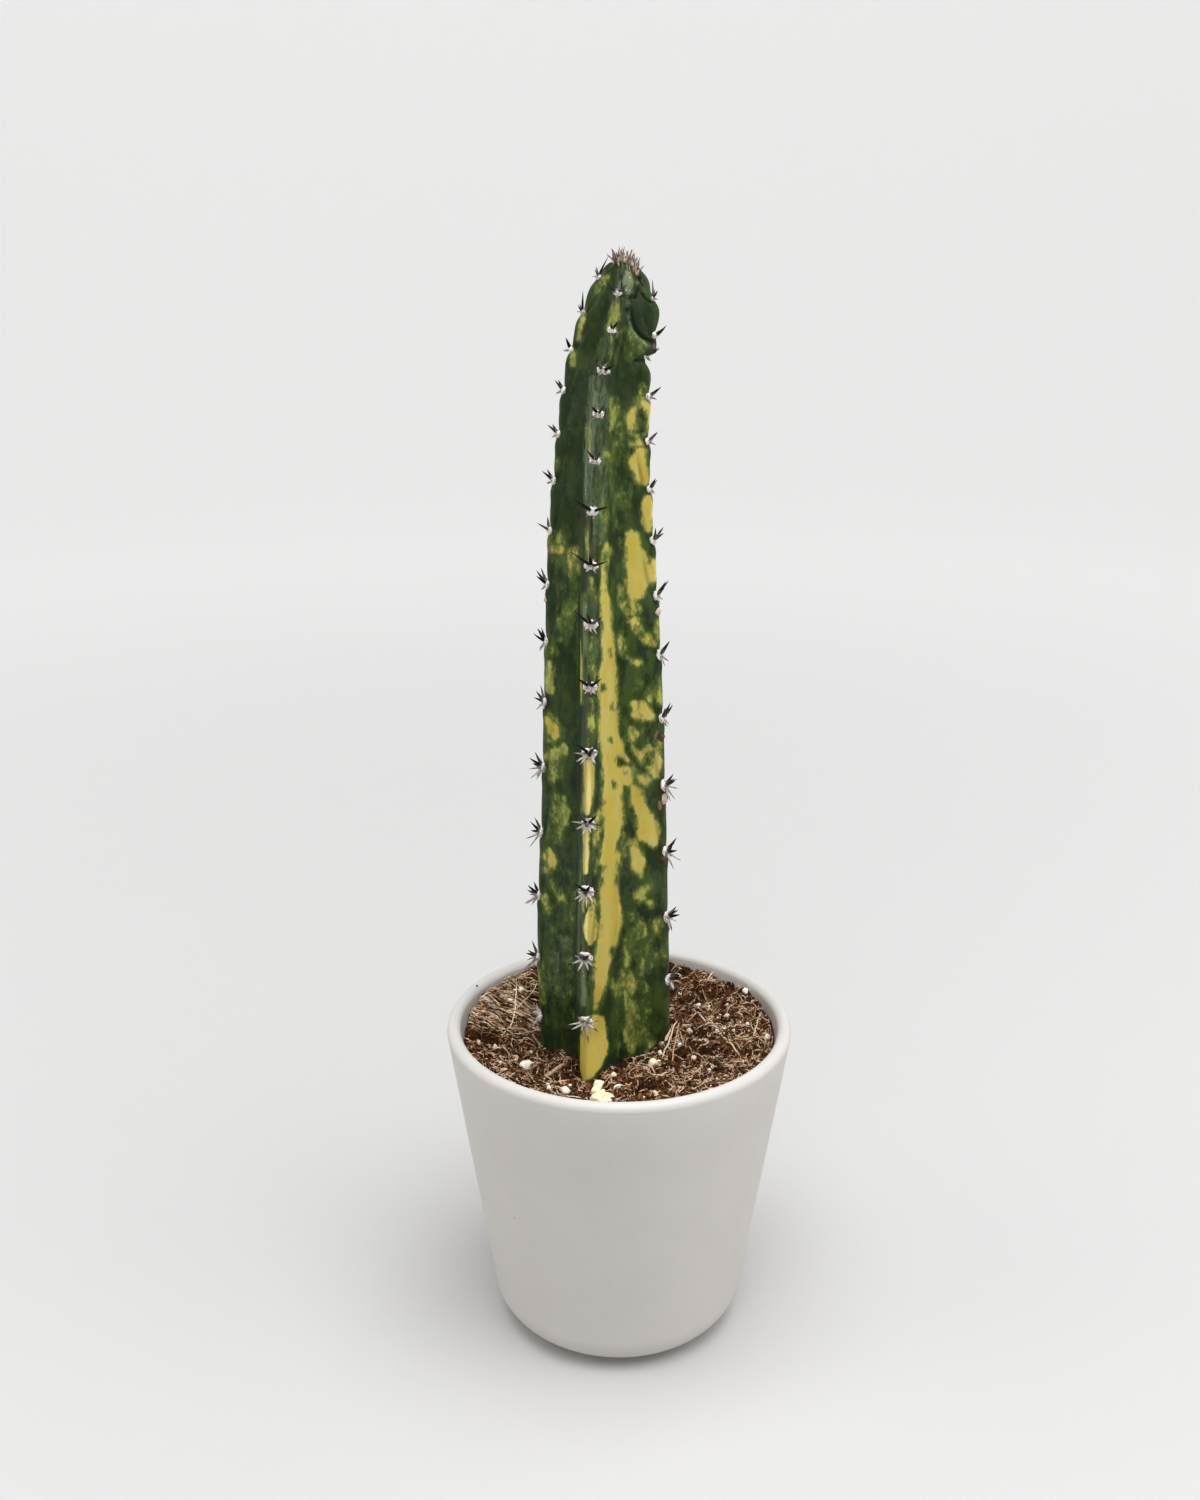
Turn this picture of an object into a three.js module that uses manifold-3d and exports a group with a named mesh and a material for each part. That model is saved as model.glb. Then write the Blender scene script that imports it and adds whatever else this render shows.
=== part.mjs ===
// A potted cactus, in millimetres with +Z up: a four-ribbed columnar stem stands in a plug of
// coir potting mix, which fills a tapered ceramic pot. The origin is on the pot's axis, on the
// plane that the pot stands on. The side that is seen first faces -Y.
import * as THREE from "three";
import { mergeVertices } from "three/addons/utils/BufferGeometryUtils.js";
import Module from "manifold-3d";

const wasm = await Module();
wasm.setup();

// Pot
const POT_HEIGHT = 115;
const RIM_RADIUS = 60;
const WALL = 4.8;
const LIP_HALF_HEIGHT = 2.6;
const SHOULDER_RADIUS = 45.4; // where the straight wall ends and the rounded base begins
const SHOULDER_HEIGHT = 16;
const FOOT_RING = { inner: 20, outer: 26, recess: 1 };
const BASE_FULLNESS = 2.2; // exponent of the base rounding, where 2 is an ellipse
const FLOOR_THICKNESS = 6.5;
const INNER_FLOOR_RADIUS = 24;
const INNER_ROUNDING = 14; // height of the rounding between the inner floor and the wall
const POT_SEGMENTS = 48;
const BASE_STEPS = 6;
const LIP_STEPS = 8;
const HOLLOW_STEPS = 4;

// Soil
const FIT_GAP = 0.3; // between pieces that touch
const SOIL_AT_STEM = 102.6;
const SOIL_LEAN = 0.09; // climb to the right for each millimetre across the stem's foot
const SOIL_RISE = { mean: 5.6, tilt: 2.7 }; // climb from the stem to the wall, most at the back
const SOIL_SEGMENTS = 40;
const SOIL_RINGS = 9;
// Clods: height of each wave, its turns along x and y in radians for each mm, its start
const CLOD_WAVES = [
  [0.45, 0.58, 0.16, 0.7],
  [0.35, -0.22, 0.61, 2.6],
  [0.33, 0.71, -0.52, 2.1],
];
const CRUMB_ROOM = 3; // clear ring left between loose crumbs and the pot or stem
const PERLITE = { count: 30, smallest: 0.9, largest: 1.8, flatness: 0.9 };
const BARK = { count: 18, smallest: 1.8, largest: 3.4, flatness: 0.5 };

// Stem
const STEM_TOP = 367.3;
const STEM_FOOT = 74;
const HOLE_CLEARANCE = 0.5; // added to the rib radius and to the valley, 0.3 mm or more on a flank
const FOOT_ROOM = 1.03; // the hole's widening round the stem's foot
const DOME_START = 340;
const DOME_FULLNESS = 2.2;
const DOME_RELIEF_RADIUS = 10; // bumps fade where the dome is narrower than this
const VALLEY_SHARE = 0.33; // of the rib radius, along and across the rib
const CREST_ROUNDNESS = 0.35;
const RIBS = 4;
const POINTS_PER_RIB = 6;
// Rings of the column above its foot: from, to, how many
const RING_RUNS = [
  [98, 281.75, 35],
  [281.75, 340, 17],
  [340, 363, 10],
  [363, 367, 3],
];
const RINGS_IN_HOLE = 4; // the soil's hole shares the stem's lowest rings
// height, sideways lean of the axis, rib radius before the dome closes it, twist in degrees
const STEM_STATIONS = [
  [74, -5, 22, 16],
  [105, -5, 23.4, 15.5],
  [145, -5.8, 23.1, 14.6],
  [195, -5.5, 21.1, 13.6],
  [245, -5.8, 19, 11.6],
  [280, -6.3, 17, 10],
  [308, -6, 14.7, 8.6],
  [334, -4.2, 13.1, 7.5],
  [350, -1.5, 12, 5.5],
  [367.3, 0, 10.8, 3],
];
const RIGHT_RIB = 1;
// The right rib's growth stopped once: a pinch, with a fuller lobe above it.
const PINCH = { height: 338, depth: 2.6, spread: 3 };
const LOBE = { height: 352, depth: 1.1, spread: 6 };
// The same rib draws in to a rounded heel just over the soil.
const HEEL = { top: 113.5, bottom: 101, depth: 9.5 };
const RELIEF_FOCUS = 4; // how fast a bump on the crest dies away down the flanks

// Areoles: wool cushions on the rib crests, closer together towards the tip
const AREOLE_TOPS = [[357.7], [356, 339.5], [360.5], [362.2]]; // front, right, back and left rib
const AREOLES_ABOVE_PINCH = 2;
const LOWEST_AREOLE = 109.5;
const SPACING = { first: 9.64, growth: 0.094, most: 23.36 };
const CHIN = { drop: 3.2, spread: 2.6, old: 0.5, young: 1.3, oldTo: 230, youngFrom: 300 };
const NOTCH = { rise: 1, spread: 2, share: 0.7 }; // dip over an areole, the chin bulges below it
const CUSHION = { across: 2.3, thick: 1.2, sunk: 0.35 };
const SPINE = { base: 0.5, sunk: 1.6, shortest: 4.6, longest: 6.8, radials: 4 };
// How far each kind of spine leans aside and stands out of its cushion, and unevenness of turn
const RADIAL = { aside: 0.95, out: 0.5 };
const CENTRAL = { aside: 0.15, out: 1 };
const TURN_SPREAD = 0.3;
const YOUNG = { from: 348, size: 0.75 }; // areoles near the tip are smaller
const CROWN = { areoles: 3, radius: 3.1, drop: 1.3, tilt: 0.35, size: 0.55 };

// The same draws on every run, from a small mixing generator.
function seeded(seed) {
  let state = seed;
  return () => {
    state = (state + 0x6d2b79f5) | 0;
    let mixed = Math.imul(state ^ (state >>> 15), 1 | state);
    mixed = (mixed + Math.imul(mixed ^ (mixed >>> 7), 61 | mixed)) ^ mixed;
    return ((mixed ^ (mixed >>> 14)) >>> 0) / 4294967296;
  };
}

function solidOf(geometry) {
  const bare = geometry.clone();
  bare.deleteAttribute("normal");
  bare.deleteAttribute("uv");
  const merged = mergeVertices(bare, 1e-4);
  return new wasm.Manifold(
    new wasm.Mesh({
      numProp: 3,
      vertProperties: merged.attributes.position.array,
      triVerts: new Uint32Array(merged.index.array),
    }),
  );
}

function geometryOf(solid) {
  const mesh = solid.getMesh();
  const geometry = new THREE.BufferGeometry();
  geometry.setAttribute("position", new THREE.BufferAttribute(mesh.vertProperties, 3));
  geometry.setIndex(new THREE.BufferAttribute(mesh.triVerts, 1));
  geometry.computeVertexNormals();
  return geometry;
}

function named(name, geometry, color, roughness) {
  const material = new THREE.MeshStandardMaterial({ color, roughness, metalness: 0 });
  const mesh = new THREE.Mesh(geometry, material);
  mesh.name = name;
  return mesh;
}

// A turned shape that stands on its profile's axis, with the profile's y along +Z.
function turned(profile, segments) {
  return new THREE.LatheGeometry(profile, segments).rotateX(Math.PI / 2);
}

// Radius of the pot's straight outer wall at a height.
function wallRadius(z) {
  const top = POT_HEIGHT - LIP_HALF_HEIGHT;
  const share = (z - SHOULDER_HEIGHT) / (top - SHOULDER_HEIGHT);
  return THREE.MathUtils.lerp(SHOULDER_RADIUS, RIM_RADIUS, share);
}

// A quarter of a superellipse from the flat floor, at share 0, up to the wall, at share 1.
function rounding(share, flatRadius, floor, wall, height) {
  const turn = (share * Math.PI) / 2;
  const out = Math.sin(turn) ** (2 / BASE_FULLNESS);
  const up = 1 - Math.cos(turn) ** (2 / BASE_FULLNESS);
  return new THREE.Vector2(flatRadius + (wall - flatRadius) * out, floor + height * up);
}

// The hollow's outline from the floor's edge to the wall, drawn in by a clearance.
function hollowRounding(clearance) {
  const top = FLOOR_THICKNESS + INNER_ROUNDING;
  const wall = wallRadius(top) - WALL - clearance;
  const flat = INNER_FLOOR_RADIUS - clearance;
  const points = [];
  const floor = FLOOR_THICKNESS + clearance;
  for (let i = 0; i <= HOLLOW_STEPS; i++) {
    points.push(rounding(i / HOLLOW_STEPS, flat, floor, wall, INNER_ROUNDING - clearance));
  }
  return points;
}

function makePot() {
  const profile = [new THREE.Vector2(0, FOOT_RING.recess)];
  profile.push(new THREE.Vector2(FOOT_RING.inner, FOOT_RING.recess));
  profile.push(new THREE.Vector2(FOOT_RING.inner + FOOT_RING.recess, 0));
  for (let i = 0; i <= BASE_STEPS; i++) {
    profile.push(
      rounding(i / BASE_STEPS, FOOT_RING.outer, 0, SHOULDER_RADIUS, SHOULDER_HEIGHT),
    );
  }
  const lipCentre = RIM_RADIUS - WALL / 2;
  const lipBase = POT_HEIGHT - LIP_HALF_HEIGHT;
  for (let i = 0; i <= LIP_STEPS; i++) {
    const turn = (i / LIP_STEPS) * Math.PI;
    profile.push(
      new THREE.Vector2(
        lipCentre + (WALL / 2) * Math.cos(turn),
        lipBase + LIP_HALF_HEIGHT * Math.sin(turn),
      ),
    );
  }
  profile.push(...hollowRounding(0).reverse());
  profile.push(new THREE.Vector2(0, FLOOR_THICKNESS));
  return solidOf(turned(profile, POT_SEGMENTS));
}

const course = new THREE.CubicInterpolant(
  STEM_STATIONS.map((row) => row[0]),
  STEM_STATIONS.flatMap((row) => row.slice(1)),
  STEM_STATIONS[0].length - 1,
);

// The stem's axis, rib radius and twist at a height.
function stemAt(z) {
  const [lean, fullRadius, twist] = course.evaluate(z);
  const rise = THREE.MathUtils.clamp((z - DOME_START) / (STEM_TOP - DOME_START), 0, 1);
  const radius = fullRadius * Math.sqrt(1 - rise ** DOME_FULLNESS);
  return { lean, radius, twist: THREE.MathUtils.degToRad(twist) };
}

function bell(distance, spread) {
  return Math.exp(-((distance / spread) ** 2));
}

// Areole heights of one rib, from the tip down.
function areoleHeights(tops) {
  const heights = [];
  tops.forEach((top, run) => {
    let z = top;
    const limit = run < tops.length - 1 ? AREOLES_ABOVE_PINCH : Infinity;
    for (let count = 0; count < limit && z > LOWEST_AREOLE; count++) {
      heights.push(z);
      z -= Math.min(SPACING.first + SPACING.growth * (STEM_TOP - z), SPACING.most);
    }
  });
  return heights;
}

const areoles = AREOLE_TOPS.map(areoleHeights);

// How far a rib's crest stands out of, or dips into, its even line.
function crestRelief(rib, z) {
  let relief = 0;
  for (const height of areoles[rib]) {
    const youth = THREE.MathUtils.smoothstep(height, CHIN.oldTo, CHIN.youngFrom);
    const chin = THREE.MathUtils.lerp(CHIN.old, CHIN.young, youth);
    relief += chin * bell(z - height + CHIN.drop, CHIN.spread);
    relief -= chin * NOTCH.share * bell(z - height - NOTCH.rise, NOTCH.spread);
  }
  if (rib === RIGHT_RIB) {
    relief += LOBE.depth * bell(z - LOBE.height, LOBE.spread);
    relief -= PINCH.depth * bell(z - PINCH.height, PINCH.spread);
    relief -= HEEL.depth * (1 - THREE.MathUtils.smoothstep(z, HEEL.bottom, HEEL.top));
  }
  return relief;
}

// A point of the stem's skin. turn runs round the stem from 0 at the front rib's crest to
// RIBS, one unit for each rib, and grow widens the section.
function skinPoint(turn, z, grow = 0) {
  const { lean, radius, twist } = stemAt(z);
  const rib = Math.round(turn) % RIBS;
  const across = 2 * (turn - Math.round(turn)); // -1 and 1 in the valleys, 0 on the crest
  const outward = (rib / RIBS) * 2 * Math.PI - twist;
  const valley = VALLEY_SHARE * radius + grow;
  const relief = crestRelief(rib, z) * Math.min(1, radius / DOME_RELIEF_RADIUS);
  const out = 1 - across * across;
  const along = valley + (radius + grow - valley) * out + relief * out ** RELIEF_FOCUS;
  const flank = (1 - CREST_ROUNDNESS) * (1 - out) + CREST_ROUNDNESS * Math.sqrt(1 - out * out);
  const aside = Math.sign(across) * valley * flank;
  return new THREE.Vector3(
    lean + along * Math.sin(outward) + aside * Math.cos(outward),
    -along * Math.cos(outward) + aside * Math.sin(outward),
    z,
  );
}

// A closed ribbed column up to a top, with a ring in each row: its height, its share of width.
function ribbedColumn(rows, top, grow) {
  const profile = [new THREE.Vector2(0, rows[0][0])];
  rows.forEach(([z, share]) => profile.push(new THREE.Vector2(share, z)));
  profile.push(new THREE.Vector2(0, top));
  const segments = RIBS * POINTS_PER_RIB;
  const geometry = new THREE.LatheGeometry(profile, segments);
  const position = geometry.attributes.position;
  for (let index = 0; index < position.count; index++) {
    const { x: share, y: z } = profile[index % profile.length];
    const column = Math.floor(index / profile.length) % segments;
    const axis = new THREE.Vector3(stemAt(z).lean, 0, z);
    const point = axis.lerp(skinPoint(column / POINTS_PER_RIB, z, grow), share);
    position.setXYZ(index, point.x, point.y, point.z);
  }
  return solidOf(geometry);
}

// Full-width rings of the column, from the soil up.
function columnRows() {
  return RING_RUNS.flatMap(([from, to, count]) =>
    Array.from({ length: count }, (unused, i) => [from + (i * (to - from)) / count, 1]),
  );
}

// The stem's callused foot, which narrows to its end in the soil.
const FOOT_ROWS = [
  [STEM_FOOT, 0.7],
  [STEM_FOOT + 2.5, 0.9],
  [STEM_FOOT + 9, 1],
];

// A cone that stands on a point and leans along a direction, its root sunk below the point.
function spine(root, direction, length) {
  const full = length + SPINE.sunk;
  const cone = new THREE.ConeGeometry(SPINE.base, full, 3);
  cone.translate(0, full / 2 - SPINE.sunk, 0);
  const turn = new THREE.Quaternion();
  turn.setFromUnitVectors(new THREE.Vector3(0, 1, 0), direction);
  cone.applyQuaternion(turn);
  cone.translate(root.x, root.y, root.z);
  return solidOf(cone);
}

// One areole: a wool cushion and its spines, at a point whose skin faces outward.
function areole(point, outward, size, draw) {
  const upward = new THREE.Vector3(0, 0, 1);
  upward.addScaledVector(outward, -upward.dot(outward)).normalize();
  const sideways = new THREE.Vector3().crossVectors(upward, outward);
  const cushion = new THREE.IcosahedronGeometry(1, 0);
  cushion.scale(CUSHION.across * size, CUSHION.across * size, CUSHION.thick * size);
  const frame = new THREE.Matrix4().makeBasis(sideways, upward, outward);
  cushion.applyMatrix4(frame);
  const seat = point.clone().addScaledVector(outward, -CUSHION.sunk * size);
  cushion.translate(seat.x, seat.y, seat.z);
  const pieces = [solidOf(cushion)];
  const start = draw() * 2 * Math.PI;
  for (let i = 0; i <= SPINE.radials; i++) {
    const kind = i === SPINE.radials ? CENTRAL : RADIAL;
    const step = (i + TURN_SPREAD * (draw() - 0.5)) / SPINE.radials;
    const around = start + step * 2 * Math.PI;
    const direction = outward.clone().multiplyScalar(kind.out);
    direction.addScaledVector(upward, kind.aside * Math.cos(around));
    direction.addScaledVector(sideways, kind.aside * Math.sin(around));
    direction.normalize();
    const length = THREE.MathUtils.lerp(SPINE.shortest, SPINE.longest, draw()) * size;
    const root = seat.clone().addScaledVector(direction, (CUSHION.thick * size) / 2);
    pieces.push(spine(root, direction, length));
  }
  return pieces;
}

// The outward direction of the skin on a rib's crest, tipped with the crest's slope.
function crestNormal(rib, z) {
  const step = 3;
  const slope = skinPoint(rib, z + step).sub(skinPoint(rib, z - step));
  const outward = skinPoint(rib, z).sub(new THREE.Vector3(stemAt(z).lean, 0, z));
  outward.addScaledVector(slope, -outward.dot(slope) / slope.lengthSq());
  return outward.normalize();
}

function makeStem() {
  const draw = seeded(41);
  const pieces = [ribbedColumn([...FOOT_ROWS, ...columnRows()], STEM_TOP, 0)];
  areoles.forEach((heights, rib) => {
    for (const z of heights) {
      const size = z > YOUNG.from ? YOUNG.size : 1;
      pieces.push(...areole(skinPoint(rib, z), crestNormal(rib, z), size, draw));
    }
  });
  for (let i = 0; i < CROWN.areoles; i++) {
    const around = ((i + 0.5) / CROWN.areoles) * 2 * Math.PI;
    const aside = new THREE.Vector3(Math.cos(around), Math.sin(around), 0);
    const point = new THREE.Vector3(0, 0, STEM_TOP - CROWN.drop);
    point.addScaledVector(aside, CROWN.radius);
    const outward = new THREE.Vector3(0, 0, 1).addScaledVector(aside, CROWN.tilt).normalize();
    pieces.push(...areole(point, outward, CROWN.size, draw));
  }
  return wasm.Manifold.union(pieces);
}

// Height of the soil's surface, with a few long waves as clods.
function soilHeight(x, y) {
  const reach = Math.hypot(x, y);
  const towardsFront = reach > 0 ? -y / reach : 0;
  const climb = THREE.MathUtils.smoothstep(reach, 22, wallRadius(POT_HEIGHT) - WALL);
  const rise = climb * (SOIL_RISE.mean - SOIL_RISE.tilt * towardsFront);
  const lean = (1 - climb) * SOIL_LEAN * x;
  let clods = 0;
  for (const [height, alongX, alongY, start] of CLOD_WAVES) {
    clods += height * Math.sin(alongX * x + alongY * y + start);
  }
  return SOIL_AT_STEM + rise + lean + clods;
}

function soilPlug() {
  const profile = [new THREE.Vector2(0, FLOOR_THICKNESS + FIT_GAP)];
  profile.push(...hollowRounding(FIT_GAP));
  const firstTop = profile.length;
  for (let ring = 0; ring <= SOIL_RINGS; ring++) {
    profile.push(new THREE.Vector2(1 - ring / SOIL_RINGS, SOIL_AT_STEM));
  }
  const geometry = turned(profile, SOIL_SEGMENTS);
  const position = geometry.attributes.position;
  for (let index = 0; index < position.count; index++) {
    const row = index % profile.length;
    if (row < firstTop) continue;
    const share = 1 - (row - firstTop) / SOIL_RINGS;
    const column = Math.floor(index / profile.length);
    const turn = ((column % SOIL_SEGMENTS) / SOIL_SEGMENTS) * 2 * Math.PI;
    const nominal = share * (wallRadius(SOIL_AT_STEM) - WALL);
    const z = soilHeight(nominal * Math.sin(turn), -nominal * Math.cos(turn));
    const reach = share * (wallRadius(z) - WALL - FIT_GAP);
    position.setXYZ(index, reach * Math.sin(turn), -reach * Math.cos(turn), z);
  }
  return solidOf(geometry);
}

// Where loose crumbs may lie: between the stem's ribs and the wall.
function crumbPlace(draw, size) {
  const innermost = STEM_STATIONS[1][2] + CRUMB_ROOM + size;
  const outermost = wallRadius(SOIL_AT_STEM) - WALL - CRUMB_ROOM - size;
  const reach = Math.sqrt(THREE.MathUtils.lerp(innermost ** 2, outermost ** 2, draw()));
  const turn = draw() * 2 * Math.PI;
  const x = reach * Math.cos(turn);
  const y = reach * Math.sin(turn);
  const toStem = Math.hypot(x - STEM_STATIONS[1][1], y);
  return toStem > innermost ? new THREE.Vector3(x, y, soilHeight(x, y)) : crumbPlace(draw, size);
}

// Crumbs are small solids, squashed and turned, that sit part sunk in the soil.
function crumbs(kind, draw) {
  return Array.from({ length: kind.count }, () => {
    const size = THREE.MathUtils.lerp(kind.smallest, kind.largest, draw());
    const geometry = new THREE.IcosahedronGeometry(size, 0);
    geometry.scale(1 + 0.4 * draw(), 0.8 + 0.3 * draw(), kind.flatness);
    geometry.rotateX(0.5 * (draw() - 0.5));
    geometry.rotateZ(draw() * Math.PI);
    const place = crumbPlace(draw, size);
    geometry.translate(place.x, place.y, place.z);
    return solidOf(geometry);
  });
}

function makeSoil() {
  const draw = seeded(7);
  const filled = wasm.Manifold.union([soilPlug(), ...crumbs(PERLITE, draw), ...crumbs(BARK, draw)]);
  const footRows = FOOT_ROWS.map(([z, share]) => [z, share * FOOT_ROOM]);
  footRows[0][0] -= FIT_GAP;
  const sharedRows = columnRows().slice(0, RINGS_IN_HOLE + 1);
  const holeTop = sharedRows.pop()[0];
  return filled.subtract(ribbedColumn([...footRows, ...sharedRows], holeTop, HOLE_CLEARANCE));
}

const plant = new THREE.Group();
plant.add(named("pot", geometryOf(makePot()), 0xd9d6d1, 0.55));
plant.add(named("soil", geometryOf(makeSoil()), 0x5a3f2c, 0.95));
plant.add(named("stem", geometryOf(makeStem()), 0x4f6236, 0.45));

export default plant;
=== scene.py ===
"""Potted variegated blue candle cactus, dressed for close views.

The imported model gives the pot, the potting mix and the stem their place and their main form. This
script gives each of them its fine shape and its finish. Sizes are in millimetres, in the frame of
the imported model, and become metres where a mesh is made.
"""

import logging
import math
from dataclasses import dataclass, field
from enum import Enum

import bpy
import numpy as np
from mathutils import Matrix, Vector


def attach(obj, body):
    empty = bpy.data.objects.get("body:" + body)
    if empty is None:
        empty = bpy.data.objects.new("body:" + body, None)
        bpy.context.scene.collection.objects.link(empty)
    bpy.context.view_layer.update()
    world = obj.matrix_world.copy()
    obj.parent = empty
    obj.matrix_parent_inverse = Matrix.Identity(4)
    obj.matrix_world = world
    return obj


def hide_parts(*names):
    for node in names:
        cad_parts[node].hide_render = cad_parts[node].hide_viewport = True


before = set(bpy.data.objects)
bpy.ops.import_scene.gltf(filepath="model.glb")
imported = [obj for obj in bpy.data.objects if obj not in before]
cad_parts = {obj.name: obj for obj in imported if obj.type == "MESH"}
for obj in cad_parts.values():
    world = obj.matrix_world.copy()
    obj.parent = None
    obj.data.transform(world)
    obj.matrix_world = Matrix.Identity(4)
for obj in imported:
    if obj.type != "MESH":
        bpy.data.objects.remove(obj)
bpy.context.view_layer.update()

Array = np.ndarray
Random = np.random.Generator
Piece = bpy.types.Object
Socket = bpy.types.NodeSocket
Triple = tuple[float, float, float]
Colour = tuple[float, float, float, float]
# An areole's point, its directions outward, upward and to the side, its size and its age
Seat = tuple[Array, Array, Array, Array, float, float]

LOG = logging.getLogger("potted_cactus")
MM = 0.001
BODY = "root"
FULL_TURN = 2 * math.pi


class Slot(Enum):
    """The record's material slots."""

    CERAMIC = "pot_ceramic"
    MIX = "potting_mix"
    SKIN = "cactus_skin"


class Tint(Enum):
    """What a painted streak does to the skin, in the order of the painted channels."""

    YELLOW = 0
    LIME = 1
    BLOOM_AND_HIGHLIGHT = 2
    CORK = 3
    GREEN = 4


# Shapes as arrays, and how they become pieces


@dataclass
class Shape:
    """Points in millimetres, the faces' corners and how many each has, and named values at the points."""

    points: Array
    corners: Array
    sizes: Array
    values: dict[str, Array] = field(default_factory=dict)


def smoothstep(value: Array, low: float, high: float) -> Array:
    """Returns a smooth climb from 0 at low to 1 at high."""
    share = np.clip((value - low) / (high - low), 0, 1)
    return share * share * (3 - 2 * share)


def mix(start: Array | float, end: Array | float, share: Array | float) -> Array | float:
    """Returns the value that lies a share of the way from start to end."""
    return start + (end - start) * share


def bell(distance: Array | float, spread: float) -> Array:
    """Returns a smooth bump, 1 at no distance."""
    return np.exp(-((distance / spread) ** 2))


def held_in(places: Array, limit: float) -> Array:
    """Returns flat places, drawn in to a distance from the axis where they lie beyond it."""
    reach = np.linalg.norm(places, axis=-1, keepdims=True)
    return places * np.minimum(1, limit / np.maximum(reach, 1e-6))


def unit(vectors: Array) -> Array:
    """Returns the vectors at length 1."""
    length = np.linalg.norm(vectors, axis=-1, keepdims=True)
    return vectors / np.maximum(length, 1e-9)


def lattice_noise(places: Array, cell: float | tuple[float, ...], seed: int) -> Array:
    """Gives smooth seeded noise at places.

    Args:
        places: Points in rows of three coordinates.
        cell: Size of one wave, or one size for each axis.
        seed: Chooses the noise.

    Returns:
        One value from -1 to 1 for each place.
    """
    side = 64
    table = np.random.default_rng(seed).uniform(-1, 1, (side, side, side))
    scaled = places / np.asarray(cell)
    low = np.floor(scaled).astype(int)
    part = scaled - low
    part = part * part * (3 - 2 * part)
    total = np.zeros(len(places))
    for corner in np.ndindex(2, 2, 2):
        weight = np.prod(np.where(corner, part, 1 - part), axis=1)
        index = (low + corner) % side
        total += weight * table[index[:, 0], index[:, 1], index[:, 2]]
    return total


def layered_noise(places: Array, cell: float | tuple[float, ...], layers: int, seed: int) -> Array:
    """Adds finer and fainter layers of lattice noise.

    Args:
        places: Points in rows of three coordinates.
        cell: Size of the coarsest wave.
        layers: How many layers, each half as coarse as the last.
        seed: Chooses the noise.

    Returns:
        One value from about -1 to 1 for each place.
    """
    size = np.asarray(cell, dtype=float)
    total = np.zeros(len(places))
    for layer in range(layers):
        total += lattice_noise(places, tuple(np.broadcast_to(size, 3) / 2**layer), seed + layer) / 2**layer
    return total / (2 - 2 ** (1 - layers))


def start_fresh() -> None:
    """Deselects everything and leaves edit mode."""
    if bpy.context.object and bpy.context.object.mode != "OBJECT":
        bpy.ops.object.mode_set(mode="OBJECT")
    bpy.ops.object.select_all(action="DESELECT")


def shape_of(thing: Piece) -> Shape:
    """Reads a modelled object's mesh into arrays and removes the object.

    Args:
        thing: The object.

    Returns:
        Its shape, in the unit of its mesh.
    """
    mesh = thing.data
    points = np.empty(len(mesh.vertices) * 3)
    mesh.vertices.foreach_get("co", points)
    corners = np.empty(len(mesh.loops), dtype=int)
    mesh.loops.foreach_get("vertex_index", corners)
    sizes = np.empty(len(mesh.polygons), dtype=int)
    mesh.polygons.foreach_get("loop_total", sizes)
    bpy.data.objects.remove(thing)
    bpy.data.meshes.remove(mesh)
    return Shape(points.reshape(-1, 3), corners, sizes)


def joined(shapes: list[Shape]) -> Shape:
    """Returns one shape that holds all the given ones, which carry the same values.

    Args:
        shapes: The shapes.

    Returns:
        The joined shape.
    """
    starts = np.cumsum([0] + [len(shape.points) for shape in shapes[:-1]])
    return Shape(
        np.concatenate([shape.points for shape in shapes]),
        np.concatenate([shape.corners + start for shape, start in zip(shapes, starts)]),
        np.concatenate([shape.sizes for shape in shapes]),
        {name: np.concatenate([shape.values[name] for shape in shapes]) for name in shapes[0].values},
    )


def repeated(template: Shape, points: Array, values: dict[str, Array]) -> Shape:
    """Copies a template's faces for many sets of points.

    Args:
        template: The shape modelled once.
        points: The points of each copy, with one row of points for each copy.
        values: Named values for each point of each copy, four numbers each.

    Returns:
        One shape that holds every copy.
    """
    count = len(points)
    offsets = np.arange(count)[:, None] * len(template.points)
    return Shape(
        points.reshape(-1, 3),
        (template.corners[None, :] + offsets).ravel(),
        np.tile(template.sizes, count),
        {name: value.reshape(-1, 4) for name, value in values.items()},
    )


def make_piece(name: str, shape: Shape, finish: bpy.types.Material, smooth: bool = True) -> Piece:
    """Makes a mesh object of a shape.

    Args:
        name: The piece's name.
        shape: Its points in millimetres, faces and values.
        finish: Its material.
        smooth: Whether its faces are shaded smooth.

    Returns:
        The new object, at the origin.
    """
    mesh = bpy.data.meshes.new(name)
    mesh.vertices.add(len(shape.points))
    mesh.vertices.foreach_set("co", (shape.points * MM).astype(np.float32).ravel())
    mesh.loops.add(len(shape.corners))
    mesh.loops.foreach_set("vertex_index", shape.corners.astype(np.int32))
    mesh.polygons.add(len(shape.sizes))
    starts = np.cumsum(shape.sizes) - shape.sizes
    mesh.polygons.foreach_set("loop_start", starts.astype(np.int32))
    mesh.polygons.foreach_set("use_smooth", np.full(len(shape.sizes), smooth))
    for value_name, value in shape.values.items():
        layer = mesh.attributes.new(value_name, "FLOAT_COLOR", "POINT")
        layer.data.foreach_set("color", value.astype(np.float32).ravel())
    mesh.update(calc_edges=True)
    mesh.validate()
    mesh.materials.append(finish)
    thing = bpy.data.objects.new(name, mesh)
    bpy.context.scene.collection.objects.link(thing)
    return thing


def settle(piece: Piece, node: str) -> None:
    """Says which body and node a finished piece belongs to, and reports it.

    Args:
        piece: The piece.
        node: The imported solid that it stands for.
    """
    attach(piece, BODY)
    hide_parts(node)
    piece.data.calc_loop_triangles()
    LOG.info("%s: %d triangles", piece.name, len(piece.data.loop_triangles))


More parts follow.
